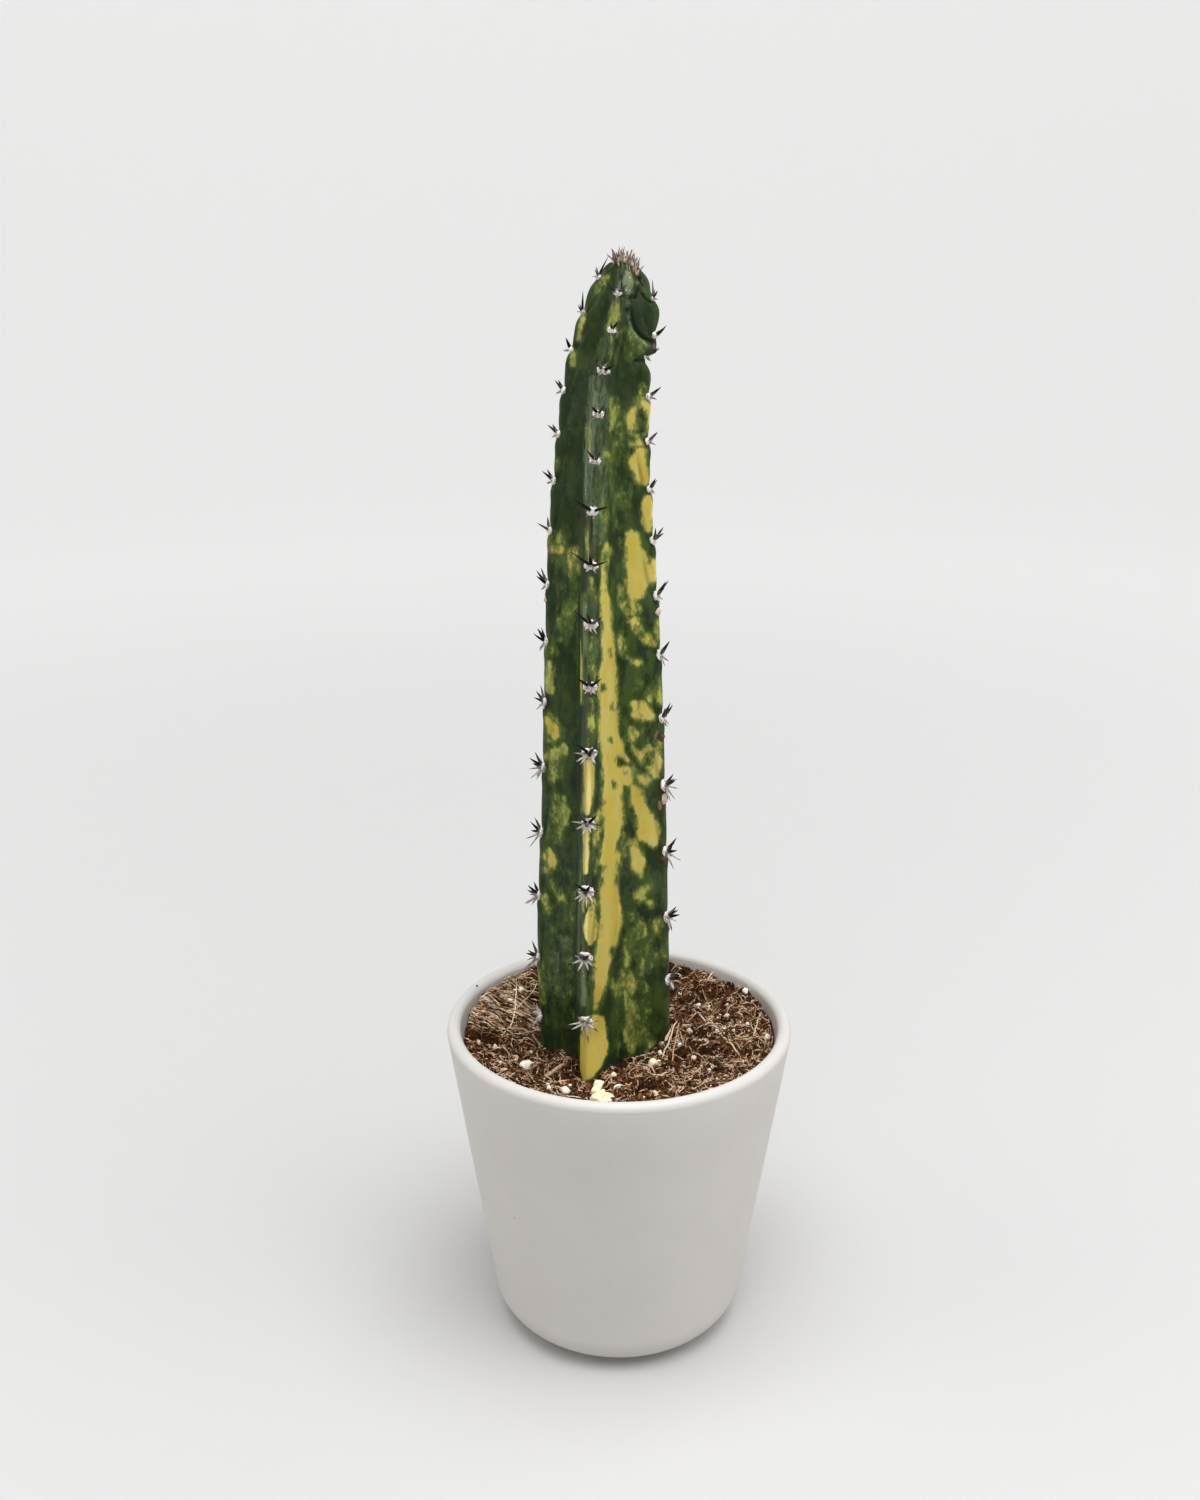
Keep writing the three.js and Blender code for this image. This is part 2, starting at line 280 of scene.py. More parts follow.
def draw_through(stations: list[tuple[float, float]], unit_size: float) -> None:
    """Draws the chosen ring on through stations of radius and height, given in a unit of some metres.

    Args:
        stations: Radius and height of each ring, the chosen one first.
        unit_size: The stations' unit, in metres.
    """
    for (last_radius, last_z), (radius, z) in zip(stations, stations[1:]):
        lift = {"value": (0, 0, (z - last_z) * unit_size)}
        bpy.ops.mesh.extrude_region_move(TRANSFORM_OT_translate=lift)
        share = radius / last_radius
        bpy.ops.transform.resize(value=(share, share, 1), center_override=(0, 0, z * unit_size))


def model_strand(sides: int, rings: int) -> Shape:
    """Models a straight closed strand of unit radius and length, to be laid along paths.

    Args:
        sides: How many sides its section has.
        rings: How many rings of points it has.

    Returns:
        The strand, along z from 0 to 1.
    """
    start_fresh()
    bpy.ops.mesh.primitive_circle_add(vertices=sides, radius=1, fill_type="NGON")
    bpy.ops.object.mode_set(mode="EDIT")
    bpy.ops.mesh.select_mode(type="FACE")
    bpy.ops.mesh.select_all(action="SELECT")
    for _ in range(rings - 1):
        step = {"value": (0, 0, 1 / (rings - 1))}
        bpy.ops.mesh.extrude_region_move(TRANSFORM_OT_translate=step)
    bpy.ops.mesh.select_all(action="SELECT")
    bpy.ops.mesh.normals_make_consistent(inside=False)
    bpy.ops.object.mode_set(mode="OBJECT")
    return shape_of(bpy.context.object)


def model_grain(subdivisions: int) -> Shape:
    """Models a round grain of unit radius, to be squashed and roughened in each copy.

    Args:
        subdivisions: How finely its faces are divided.

    Returns:
        The grain.
    """
    start_fresh()
    bpy.ops.mesh.primitive_ico_sphere_add(subdivisions=subdivisions, radius=1)
    return shape_of(bpy.context.object)


def laid_along(template: Shape, paths: Array, widths: Array, values: Array, name: str) -> Shape:
    """Lays copies of a straight strand along paths.

    Args:
        template: The straight strand.
        paths: Points of each path, the same number in each.
        widths: The strand's radius at each point of each path.
        values: Three numbers for each strand; the place along it is added as the fourth.
        name: The name of the value that the points carry.

    Returns:
        One shape that holds every strand.
    """
    last = paths.shape[1] - 1
    ring = np.rint(template.points[:, 2] * last).astype(int)
    along = unit(np.gradient(paths, axis=1))
    helper = np.where(np.abs(along[..., 2:3]) > 0.8, [1.0, 0.0, 0.0], [0.0, 0.0, 1.0])
    aside = unit(np.cross(along, helper))
    upward = np.cross(aside, along)
    radius = widths[:, ring, None]
    points = paths[:, ring] + radius * (
        template.points[None, :, 0:1] * aside[:, ring] + template.points[None, :, 1:2] * upward[:, ring]
    )
    share = np.broadcast_to(template.points[None, :, 2:3], points.shape[:2] + (1,))
    told = np.broadcast_to(values[:, None, :], points.shape[:2] + (3,))
    return repeated(template, points, {name: np.concatenate([told, share], axis=2)})


def grains(template: Shape, places: Array, radii: Array, rough: float, told: Array,
           name: str, rng: Random) -> Shape:
    """Sets rough grains at places.

    Args:
        template: The round grain.
        places: The middle of each grain.
        radii: Three half sizes for each grain.
        rough: How far a grain's points leave its even form, as a share of its size.
        told: Three numbers that each grain's points carry.
        name: The name of that value.
        rng: Draws the turns and the roughness.

    Returns:
        One shape that holds every grain.
    """
    count = len(places)
    corner = template.points[None] + rng.uniform(0, 50, (count, 1, 3))
    push = layered_noise(corner.reshape(-1, 3), 0.9, 2, 5).reshape(count, -1, 1)
    body = template.points[None] * (1 + rough * push) * radii[:, None, :]
    turn, tip = rng.uniform(0, FULL_TURN, count), rng.uniform(-0.5, 0.5, count)
    body = turned(turned(body, tip, 0, 2), turn, 0, 1)
    share = (push + 1) / 2
    values = np.concatenate([np.broadcast_to(told[:, None, :], body.shape), share], axis=2)
    return repeated(template, body + places[:, None, :], {name: values})


def turned(points: Array, angles: Array, first: int, second: int) -> Array:
    """Turns each copy's points in the plane of two axes.

    Args:
        points: The points of each copy.
        angles: One angle for each copy.
        first: The plane's first axis.
        second: Its second axis.

    Returns:
        The turned points.
    """
    result = points.copy()
    cosine, sine = np.cos(angles)[:, None], np.sin(angles)[:, None]
    result[..., first] = cosine * points[..., first] - sine * points[..., second]
    result[..., second] = sine * points[..., first] + cosine * points[..., second]
    return result


def wrapped(columns: int, rows: int) -> tuple[Shape, Array, Array]:
    """Models a closed ball that a wrapped surface is drawn from.

    Args:
        columns: How many points each ring has.
        rows: How many rings there are between the two poles.

    Returns:
        The ball, each point's share of a full turn, and each point's row from 0 to rows + 1.
    """
    start_fresh()
    bpy.ops.mesh.primitive_uv_sphere_add(segments=columns, ring_count=rows + 1, radius=1)
    ball = shape_of(bpy.context.object)
    height = np.arccos(np.clip(-ball.points[:, 2], -1, 1)) / math.pi
    turn = np.arctan2(ball.points[:, 1], ball.points[:, 0]) / FULL_TURN
    column = np.rint(turn * columns) % columns
    return ball, column / columns, np.rint(height * (rows + 1)).astype(int)


# The pot


@dataclass
class Pot:
    """A slip-cast pot: tapered wall, full-round lip, rounded base and a recessed foot."""

    height: float = 115.0
    rim_radius: float = 60.0
    wall: float = 4.8
    lip_half_height: float = 2.6
    shoulder_radius: float = 45.4
    shoulder_height: float = 16.0
    foot_inner: float = 20.0
    foot_outer: float = 26.0
    foot_recess: float = 1.0
    # the foot's inner edge: distance out from its inner radius, and height
    foot_edge: tuple[tuple[float, float], ...] = ((0.7, 0.3), (1.1, 0.0))
    base_fullness: float = 2.2
    floor: float = 6.5
    inner_floor_radius: float = 24.0
    inner_rounding: float = 14.0
    segments: int = 180
    lip_steps: int = 24
    base_steps: int = 20
    wall_steps: int = 8
    smooth_angle: float = 50.0

    def wall_radius(self, z: Array | float) -> Array | float:
        """Returns the straight wall's outer radius at a height."""
        rise = self.height - self.lip_half_height - self.shoulder_height
        return mix(self.shoulder_radius, self.rim_radius, (z - self.shoulder_height) / rise)

    def inner_radius(self, z: Array | float) -> Array | float:
        """Returns the straight wall's inner radius at a height."""
        return self.wall_radius(z) - self.wall

    def rounding(self, share: float, flat: float, wall: float, floor: float,
                 height: float) -> tuple[float, float]:
        """Returns radius and height of a point a share of the way up a rounded corner.

        Args:
            share: The share of the way.
            flat: Radius where the corner starts.
            wall: Radius where it ends.
            floor: Height where it starts.
            height: How high it climbs.

        Returns:
            The point's radius and height.
        """
        quarter = share * math.pi / 2
        out = math.sin(quarter) ** (2 / self.base_fullness)
        up = 1 - math.cos(quarter) ** (2 / self.base_fullness)
        return flat + (wall - flat) * out, floor + height * up

    def inner_corner(self, share: float) -> tuple[float, float]:
        """Returns radius and height of a point a share of the way up the corner of the inner floor."""
        wall = self.inner_radius(self.floor + self.inner_rounding)
        return self.rounding(share, self.inner_floor_radius, wall, self.floor, self.inner_rounding)

    def outline(self) -> list[tuple[float, float]]:
        """Returns the wall's section, from the foot outside to the floor inside.

        Returns:
            Radius and height of each point.
        """
        points = [(self.foot_inner, self.foot_recess)]
        points += [(self.foot_inner + out, up) for out, up in self.foot_edge]
        for step in range(self.base_steps + 1):
            share = step / self.base_steps
            base = self.rounding(share, self.foot_outer, self.shoulder_radius, 0, self.shoulder_height)
            points.append(base)
        lip_height = self.height - self.lip_half_height
        for step in range(1, self.wall_steps):
            z = mix(self.shoulder_height, lip_height, step / self.wall_steps)
            points.append((self.wall_radius(z), z))
        for step in range(self.lip_steps + 1):
            angle = math.pi * step / self.lip_steps
            radius = self.rim_radius - self.wall / 2 * (1 - math.cos(angle))
            points.append((radius, lip_height + self.lip_half_height * math.sin(angle)))
        corner_top = self.floor + self.inner_rounding
        for step in range(1, self.wall_steps):
            z = mix(lip_height, corner_top, step / self.wall_steps)
            points.append((self.inner_radius(z), z))
        for step in range(self.base_steps, -1, -2):
            points.append(self.inner_corner(step / self.base_steps))
        return points

    def build(self) -> Piece:
        """Draws a circle up the outline, ring by ring, and closes its two ends.

        Returns:
            The pot.
        """
        points = self.outline()
        start_fresh()
        radius, z = points[0]
        bpy.ops.mesh.primitive_circle_add(
            vertices=self.segments, radius=radius * MM, fill_type="NOTHING", location=(0, 0, z * MM)
        )
        pot = bpy.context.object
        pot.name = pot.data.name = "ceramic_pot"
        bpy.ops.object.transform_apply(location=True, rotation=True, scale=True)
        bpy.ops.object.mode_set(mode="EDIT")
        bpy.ops.mesh.select_mode(type="VERT")
        bpy.ops.mesh.select_all(action="SELECT")
        draw_through(points, MM)
        self.close_end()
        self.select_ring(pot, *points[0])
        self.close_end()
        bpy.ops.mesh.select_all(action="SELECT")
        bpy.ops.mesh.normals_make_consistent(inside=False)
        bpy.ops.object.mode_set(mode="OBJECT")
        bpy.ops.object.shade_smooth_by_angle(angle=math.radians(self.smooth_angle))
        pot.data.materials.append(CeramicFinish().material())
        return pot

    def close_end(self) -> None:
        """Draws the chosen ring in to a point on the axis."""
        bpy.ops.mesh.extrude_region_move()
        bpy.ops.mesh.merge(type="COLLAPSE")

    def select_ring(self, pot: Piece, radius: float, z: float) -> None:
        """Selects the ring of points at a radius and height.

        Args:
            pot: The pot.
            radius: The ring's radius.
            z: Its height.
        """
        bpy.ops.mesh.select_all(action="DESELECT")
        bpy.ops.object.mode_set(mode="OBJECT")
        for vertex in pot.data.vertices:
            reach = math.hypot(vertex.co.x, vertex.co.y)
            near = abs(reach - radius * MM) < 1e-5 and abs(vertex.co.z - z * MM) < 1e-5
            vertex.select = near
        bpy.ops.object.mode_set(mode="EDIT")


# The picture's point of view


@dataclass(frozen=True)
class Viewpoint:
    """Where the photograph was taken from, for a picture 1200 wide and 1500 high."""

    place: Triple = (-6.62, -473.0, 363.0)
    pitch: float = 17.6
    width: float = 1200.0
    height: float = 1500.0
    focal: float = 1500.0
    lens: float = 36.0
    sensor: float = 36.0
    clip: tuple[float, float] = (0.01, 50.0)

    def seen_at(self, points: Array) -> tuple[Array, Array, Array]:
        """Returns picture x, picture y and depth of points in millimetres.

        Args:
            points: Points in millimetres.

        Returns:
            Three values for each point.
        """
        tilt = math.radians(self.pitch)
        offset = points - np.array(self.place)
        depth = offset @ np.array([0, math.cos(tilt), -math.sin(tilt)])
        upward = offset @ np.array([0, math.sin(tilt), math.cos(tilt)])
        across = self.width / 2 + self.focal * offset[..., 0] / depth
        return across, self.height / 2 - self.focal * upward / depth, depth

    def ray(self, across: float, down: float) -> Array:
        """Returns the direction of the line of sight through a picture point.

        Args:
            across: Picture x.
            down: Picture y.

        Returns:
            The direction.
        """
        tilt = math.radians(self.pitch)
        sideways = (across - self.width / 2) / self.focal
        upward = (self.height / 2 - down) / self.focal
        forward = math.cos(tilt) + upward * math.sin(tilt)
        return np.array([sideways, forward, upward * math.cos(tilt) - math.sin(tilt)])

    def on_level(self, across: float, down: float, level: float) -> tuple[float, float]:
        """Returns where the line of sight through a picture point meets a level.

        Args:
            across: Picture x.
            down: Picture y.
            level: The level's height.

        Returns:
            The place's x and y.
        """
        ray = self.ray(across, down)
        reach = (level - self.place[2]) / ray[2]
        return self.place[0] + ray[0] * reach, self.place[1] + ray[1] * reach

    def on_plane(self, across: float, down: float, towards: float) -> Array:
        """Returns the point seen at a picture place, on the upright plane at a y in millimetres.

        Args:
            across: Picture x.
            down: Picture y.
            towards: The plane's y.

        Returns:
            The point.
        """
        ray = self.ray(across, down)
        start = np.array(self.place)
        return start + ray * (towards - start[1]) / ray[1]

    def make_camera(self) -> None:
        """Makes the scene's camera."""
        data = bpy.data.cameras.new("camera")
        data.lens = self.lens
        data.sensor_width = self.sensor
        data.clip_start, data.clip_end = self.clip
        camera = bpy.data.objects.new("camera", data)
        camera.location = Vector(self.place) * MM
        camera.rotation_euler = (math.radians(90 - self.pitch), 0, 0)
        bpy.context.scene.collection.objects.link(camera)
        bpy.context.scene.camera = camera


VIEW = Viewpoint()


# The stem's form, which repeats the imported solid's


@dataclass
class StemForm:
    """The column's axis, section and ribs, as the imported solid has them."""

    top: float = 367.3
    foot: float = 74.0
    dome_start: float = 340.0
    dome_fullness: float = 2.2
    relief_radius: float = 10.0
    valley_share: float = 0.33
    crest_roundness: float = 0.35
    relief_focus: float = 4.0
    ribs: int = 4
    right_rib: int = 1
    pinch: Triple = (338.0, 2.6, 3.0)
    lobe: Triple = (352.0, 1.1, 6.0)
    heel: Triple = (101.0, 113.5, 9.5)
    chin: tuple[float, float] = (3.2, 2.6)
    chin_depth: tuple[float, float] = (0.42, 0.5)
    chin_age: tuple[float, float] = (230.0, 300.0)
    notch: Triple = (1.0, 2.0, 0.7)
    areole_tops: tuple[tuple[float, ...], ...] = ((357.7,), (356.0, 339.5), (360.5,), (362.2,))
    areoles_above_pinch: int = 2
    lowest_areole: float = 109.5
    spacing: Triple = (9.64, 0.094, 23.36)
    slope_span: float = 3.0
    girth_steps: int = 65
    # height, lean of the axis to the right, rib radius, twist in degrees
    stations: tuple[tuple[float, float, float, float], ...] = (
        (74, -5, 22, 16), (105, -5, 23.4, 15.5), (145, -5.8, 23.1, 14.6), (195, -5.5, 21.1, 13.6),
        (245, -5.8, 19, 11.6), (280, -6.3, 17, 10), (308, -6, 14.7, 8.6), (334, -4.2, 13.1, 7.5),
        (350, -1.5, 12, 5.5), (367.3, 0, 10.8, 3),
    )

    def course(self, z: Array) -> Array:
        """Returns lean, rib radius and twist at heights, on smooth curves through the stations.

        Args:
            z: Heights.

        Returns:
            Three values for each height, with the twist in degrees.
        """
        table = np.array(self.stations, dtype=float)
        at, rows, last = table[:, 0], table[:, 1:], len(table) - 1
        end = np.clip(np.searchsorted(at, z, side="right"), 1, last)
        start, first, final = end - 1, end == 1, end == last
        before = np.where(first, end, end - 2)
        after = np.where(final, end - 1, np.minimum(end + 1, last))
        half = (at[end] - at[start]) / 2
        pull_back = half / (at[start] - at[before])
        pull_on = half / (at[after] - at[end])
        share = (z - at[start]) / (at[end] - at[start])
        square, cube = share**2, share**3
        weights = (
            (-pull_back * cube + 2 * pull_back * square - pull_back * share, before),
            (
                (1 + pull_back) * cube + (-1.5 - 2 * pull_back) * square + (-0.5 + pull_back) * share + 1,
                start,
            ),
            ((-1 - pull_on) * cube + (1.5 + pull_on) * square + 0.5 * share, end),
            (pull_on * cube - pull_on * square, after),
        )
        return sum(weight[..., None] * rows[index] for weight, index in weights)

    def at(self, z: Array) -> tuple[Array, Array, Array]:
        """Returns lean, radius with the dome, and twist in radians at heights.

        Args:
            z: Heights.

        Returns:
            Three values for each height.
        """
        lean, full, twist = np.moveaxis(self.course(z), -1, 0)
        rise = np.clip((z - self.dome_start) / (self.top - self.dome_start), 0, 1)
        return lean, full * np.sqrt(1 - rise**self.dome_fullness), np.radians(twist)

    def areole_heights(self, rib: int) -> list[float]:
        """Returns the areoles' heights on a rib, from the tip down.

        Args:
            rib: Which rib, counted from the front one.

        Returns:
            The heights.
        """
        heights: list[float] = []
        tops = self.areole_tops[rib]
        for run, z in enumerate(tops):
            limit = self.areoles_above_pinch if run < len(tops) - 1 else math.inf
            while limit and z > self.lowest_areole:
                heights.append(z)
                z -= min(self.spacing[0] + self.spacing[1] * (self.top - z), self.spacing[2])
                limit -= 1
        return heights

    def crest_relief(self, rib: int, z: Array) -> Array:
        """Returns how far a rib's crest stands out of its even line.

        Args:
            rib: Which rib, counted from the front one.
            z: Heights.

        Returns:
            One distance for each height.
        """
        relief = np.zeros_like(z)
        for height in self.areole_heights(rib):
            youth = smoothstep(height, *self.chin_age)
            depth = mix(self.chin_depth[0], self.chin_depth[1], youth)
            relief += depth * bell(z - height + self.chin[0], self.chin[1])
            relief -= depth * self.notch[2] * bell(z - height - self.notch[0], self.notch[1])
        if rib == self.right_rib:
            relief += self.lobe[1] * bell(z - self.lobe[0], self.lobe[2])
            relief -= self.pinch[1] * bell(z - self.pinch[0], self.pinch[2])
            relief -= self.heel[2] * (1 - smoothstep(z, self.heel[0], self.heel[1]))
        return relief

    def flank(self, out: Array) -> Array:
        """Returns how far to the side a rib's flank is, from 0 at its crest to 1 in the valley."""
        roundness = self.crest_roundness
        return (1 - roundness) * (1 - out) + roundness * np.sqrt(np.maximum(1 - out**2, 0))

    def skin(self, turn: Array, z: Array, grow: float | Array = 0.0) -> Array:
        """Returns points of the skin.

        Args:
            turn: Place round the stem, one unit for each rib, 0 on the front rib's crest.
            z: Height.
            grow: Widens the section.

        Returns:
            The points in rows of three coordinates.
        """
        lean, radius, twist = self.at(z)
        nearest = np.floor(turn + 0.5)
        rib = nearest.astype(int) % self.ribs
        across = 2 * (turn - nearest)
        outward = rib / self.ribs * FULL_TURN - twist
        relief = np.zeros_like(z)
        for index in range(self.ribs):
            here = rib == index
            relief[here] = self.crest_relief(index, z[here])
        relief = relief * np.minimum(1, radius / self.relief_radius)
        valley = self.valley_share * radius + grow
        out = 1 - across**2
        along = valley + (radius + grow - valley) * out + relief * out**self.relief_focus
        aside = np.sign(across) * valley * self.flank(out)
        sine, cosine = np.sin(outward), np.cos(outward)
        return np.stack([lean + along * sine + aside * cosine, aside * sine - along * cosine, z], axis=-1)

    def crest_frame(self, rib: int, height: float) -> tuple[Array, Array, Array, Array]:
        """Returns a crest point and its directions outward, upward and to the side.

        Args:
            rib: Which rib, counted from the front one.
            height: The point's height.

        Returns:
            The point and its three directions.
        """
        turn = np.full(3, float(rib))
        levels = np.array([height - self.slope_span, height, height + self.slope_span])
        low, here, high = self.skin(turn, levels)
        slope = unit(high - low)
        axis = np.array([self.at(np.array([height]))[0][0], 0, height])
        outward = here - axis
        outward = unit(outward - slope * (outward @ slope))
        return here, outward, slope, np.cross(slope, outward)

    def girth(self, turn: Array) -> Array:
        """Returns the length along a section of rib radius 1, from the front crest.

        Args:
            turn: Places round the stem, one unit for each rib.

        Returns:
            One length for each place.
        """
        steps = np.linspace(0, 0.5, self.girth_steps)
        out = 1 - (2 * steps) ** 2
        along = self.valley_share + (1 - self.valley_share) * out
        aside = self.valley_share * self.flank(out)
        length = np.concatenate([[0], np.cumsum(np.hypot(np.diff(along), np.diff(aside)))])
        nearest = np.floor(turn + 0.5)
        part = turn - nearest
        return nearest * 2 * length[-1] + np.sign(part) * np.interp(np.abs(part), steps, length)


FORM = StemForm()


# Shader parts


def node_input(tree: bpy.types.NodeTree, node: bpy.types.Node, socket: str | int, value: object) -> None:
    """Links a socket to another one, or gives it a value.

    Args:
        tree: The node tree.
        node: The node.
        socket: Its input's name or number.
        value: A socket, a value, or None to leave the input alone.
    """
    if isinstance(value, Socket):
        tree.links.new(value, node.inputs[socket])
    elif value is not None:
        node.inputs[socket].default_value = value


@dataclass
class Wiring:
    """Adds nodes to one node tree, in few words."""

    tree: bpy.types.NodeTree

    def add(self, kind: str, output: str | int = 0, settings: dict | None = None, **inputs: object) -> Socket:
        """Adds a node.

        Args:
            kind: The node's type, without its ShaderNode prefix.
            output: Which of its outputs is wanted.
            settings: Properties of the node.
            inputs: Sockets or values, by socket name with _ for a space, or i0, i1 for a number.

        Returns:
            The wanted output.
        """
        node = self.tree.nodes.new(f"ShaderNode{kind}")
        for name, value in (settings or {}).items():
            setattr(node, name, value)
        for name, value in inputs.items():
            socket = int(name[1:]) if name[0] == "i" and name[1:].isdigit() else name.replace("_", " ")
            node_input(self.tree, node, socket, value)
        return node.outputs[output]

    def math(self, operation: str, first: object, second: object = None, third: object = None) -> Socket:
        """Adds a Math node."""
        return self.add("Math", settings={"operation": operation}, i0=first, i1=second, i2=third)

    def times(self, first: object, second: object) -> Socket:
        """Adds a product."""
        return self.math("MULTIPLY", first, second)

    def blend(self, share: object, first: object, second: object) -> Socket:
        """Adds a colour Mix node."""
        return self.add("Mix", 2, {"data_type": "RGBA"}, i0=share, i6=first, i7=second)

    def cover(self, colour: object, over: object, value: object, low: float, high: float,
              share: object = None) -> Socket:
        """Lays a colour over another where a value climbs from low to high, up to a share.

        Args:
            colour: The colour below.
            over: The colour laid over it.
            value: Decides where it is laid.
            low: The value where it begins.
            high: The value where it is whole.
            share: How much of it shows there.

        Returns:
            The mixed colour.
        """
        level = self.step(value, low, high)
        if share is not None:
            level = self.times(level, share)
        return self.blend(level, colour, over)

    def step(self, value: object, low: float, high: float) -> Socket:
        """Adds a smooth step from 0 at low to 1 at high."""
        settings = {"interpolation_type": "SMOOTHSTEP"}
        return self.add("MapRange", settings=settings, i0=value, i1=low, i2=high, i3=0.0, i4=1.0)

    def noise(self, scale: float, detail: float = 3.0, roughness: float = 0.55, squash: float = 1.0,
              shift: Triple = (0, 0, 0)) -> Socket:
        """Adds noise in the object's space, drawn out along z where squash is under 1."""
        place = self.place((1, 1, squash), shift)
        return self.add("TexNoise", "Fac", Vector=place, Scale=scale, Detail=detail, Roughness=roughness)

    def place(self, scale: Triple = (1, 1, 1), shift: Triple = (0, 0, 0)) -> Socket:
        """Adds object coordinates, stretched and shifted."""
        return self.add("Mapping", Vector=self.add("TexCoord", "Object"), Scale=scale, Location=shift)

    def painted(self, name: str) -> tuple[Socket, ...]:
        """Adds a painted value and returns its four channels.

        Args:
            name: The painted value's name.

        Returns:
            Its four channels.
        """
        node = self.tree.nodes.new("ShaderNodeAttribute")
        node.attribute_name = name
        parts = self.tree.nodes.new("ShaderNodeSeparateColor")
        self.tree.links.new(node.outputs["Color"], parts.inputs[0])
        return (*parts.outputs[:3], node.outputs["Alpha"])

    def group(self, group: bpy.types.NodeTree, output: str, **inputs: object) -> Socket:
        """Adds a node group.

        Args:
            group: The node group.
            output: The name of the wanted output.
            inputs: Sockets or values, by socket name with _ for a space.

        Returns:
            The wanted output.
        """
        node = self.tree.nodes.new("ShaderNodeGroup")
        node.node_tree = group
        for name, value in inputs.items():
            node_input(self.tree, node, name.replace("_", " "), value)
        return node.outputs[output]


def new_group(name: str, output: str, **inputs: float) -> tuple[Wiring, dict[str, Socket], Socket]:
    """Starts a shader node group that works on plain numbers.

    Args:
        name: The group's name.
        output: Its output's name.
        inputs: Each input's usual value, by name.

    Returns:
        Its wiring, its inputs inside the group by name, and the inner socket of its output.
    """
    tree = bpy.data.node_groups.new(name, "ShaderNodeTree")
    for label, value in inputs.items():
        socket = tree.interface.new_socket(label, in_out="INPUT", socket_type="NodeSocketFloat")
        socket.default_value = value
    tree.interface.new_socket(output, in_out="OUTPUT", socket_type="NodeSocketFloat")
    entry = tree.nodes.new("NodeGroupInput")
    way_out = tree.nodes.new("NodeGroupOutput")
    return Wiring(tree), {label: entry.outputs[label] for label in inputs}, way_out.inputs[0]


def speckle_group() -> bpy.types.NodeTree:
    """Builds the mask of scattered specks that the pot, the skin and the wool share.

    Returns:
        The node group.
    """
    name = "scattered_specks"
    if name in bpy.data.node_groups:
        return bpy.data.node_groups[name]
    wiring, given, result = new_group(name, "Mask", Scale=1000.0, Size=0.2, Share=0.2)
    place = wiring.place()
    cells = wiring.tree.nodes.new("ShaderNodeTexVoronoi")
    wiring.tree.links.new(place, cells.inputs["Vector"])
    wiring.tree.links.new(given["Scale"], cells.inputs["Scale"])
    near = wiring.math("LESS_THAN", cells.outputs["Distance"], given["Size"])
    parts = wiring.tree.nodes.new("ShaderNodeSeparateColor")
    wiring.tree.links.new(cells.outputs["Color"], parts.inputs[0])
    chosen = wiring.math("LESS_THAN", parts.outputs[0], given["Share"])
    wiring.tree.links.new(wiring.times(near, chosen), result)
    return wiring.tree


def feather_group() -> bpy.types.NodeTree:
    """Builds a painted area's depth, made to waver by noise of two sizes.

    Returns:
        The node group.
    """
    name = "wavering_depth"
    if name in bpy.data.node_groups:
        return bpy.data.node_groups[name]
    wiring, given, result = new_group(name, "Value", Depth=0.0, Waver=1.0, Grain=1.0, Seed=0.0)
    shared = {"Vector": wiring.place((1, 1, 0.62)), "W": given["Seed"]}
    pushed = given["Depth"]
    for push, scale, detail, roughness in (("Waver", 290.0, 3.0, 0.6), ("Grain", 1150.0, 4.0, 0.72)):
        noise = wiring.add(
            "TexNoise", "Fac", {"noise_dimensions": "4D"},
            Detail=detail, Scale=scale, Roughness=roughness, **shared,
        )
        pushed = wiring.math("MULTIPLY_ADD", wiring.math("SUBTRACT", noise, 0.5), given[push], pushed)
    wiring.tree.links.new(pushed, result)
    return wiring.tree


def new_material(name: str) -> tuple[bpy.types.Material, Wiring, bpy.types.Node]:
    """Starts a material and returns it with its wiring and its surface shader.

    Args:
        name: Its name.

    Returns:
        The material, its wiring and its shader.
    """
    material = bpy.data.materials.new(name)
    material.use_nodes = True
    return material, Wiring(material.node_tree), material.node_tree.nodes["Principled BSDF"]


def finish_surface(wiring: Wiring, shader: bpy.types.Node, colour: object, roughness: object,
                   height: object = None, strength: float = 0.5, distance: float = 0.0002,
                   **constants: object) -> None:
    """Feeds a material's surface shader.

    Args:
        wiring: The material's wiring.
        shader: Its surface shader.
        colour: Base colour.
        roughness: Roughness.
        height: Height of fine relief.
        strength: How strong the relief is.
        distance: How deep the relief is, in metres.
        constants: Values of other sockets of the shader, by name with _ for a space.
    """
    node_input(wiring.tree, shader, "Base Color", colour)
    node_input(wiring.tree, shader, "Roughness", roughness)
    if height is not None:
        relief = wiring.add("Bump", Height=height, Strength=strength, Distance=distance)
        wiring.tree.links.new(relief, shader.inputs["Normal"])
    for name, value in constants.items():
        shader.inputs[name.replace("_", " ")].default_value = value


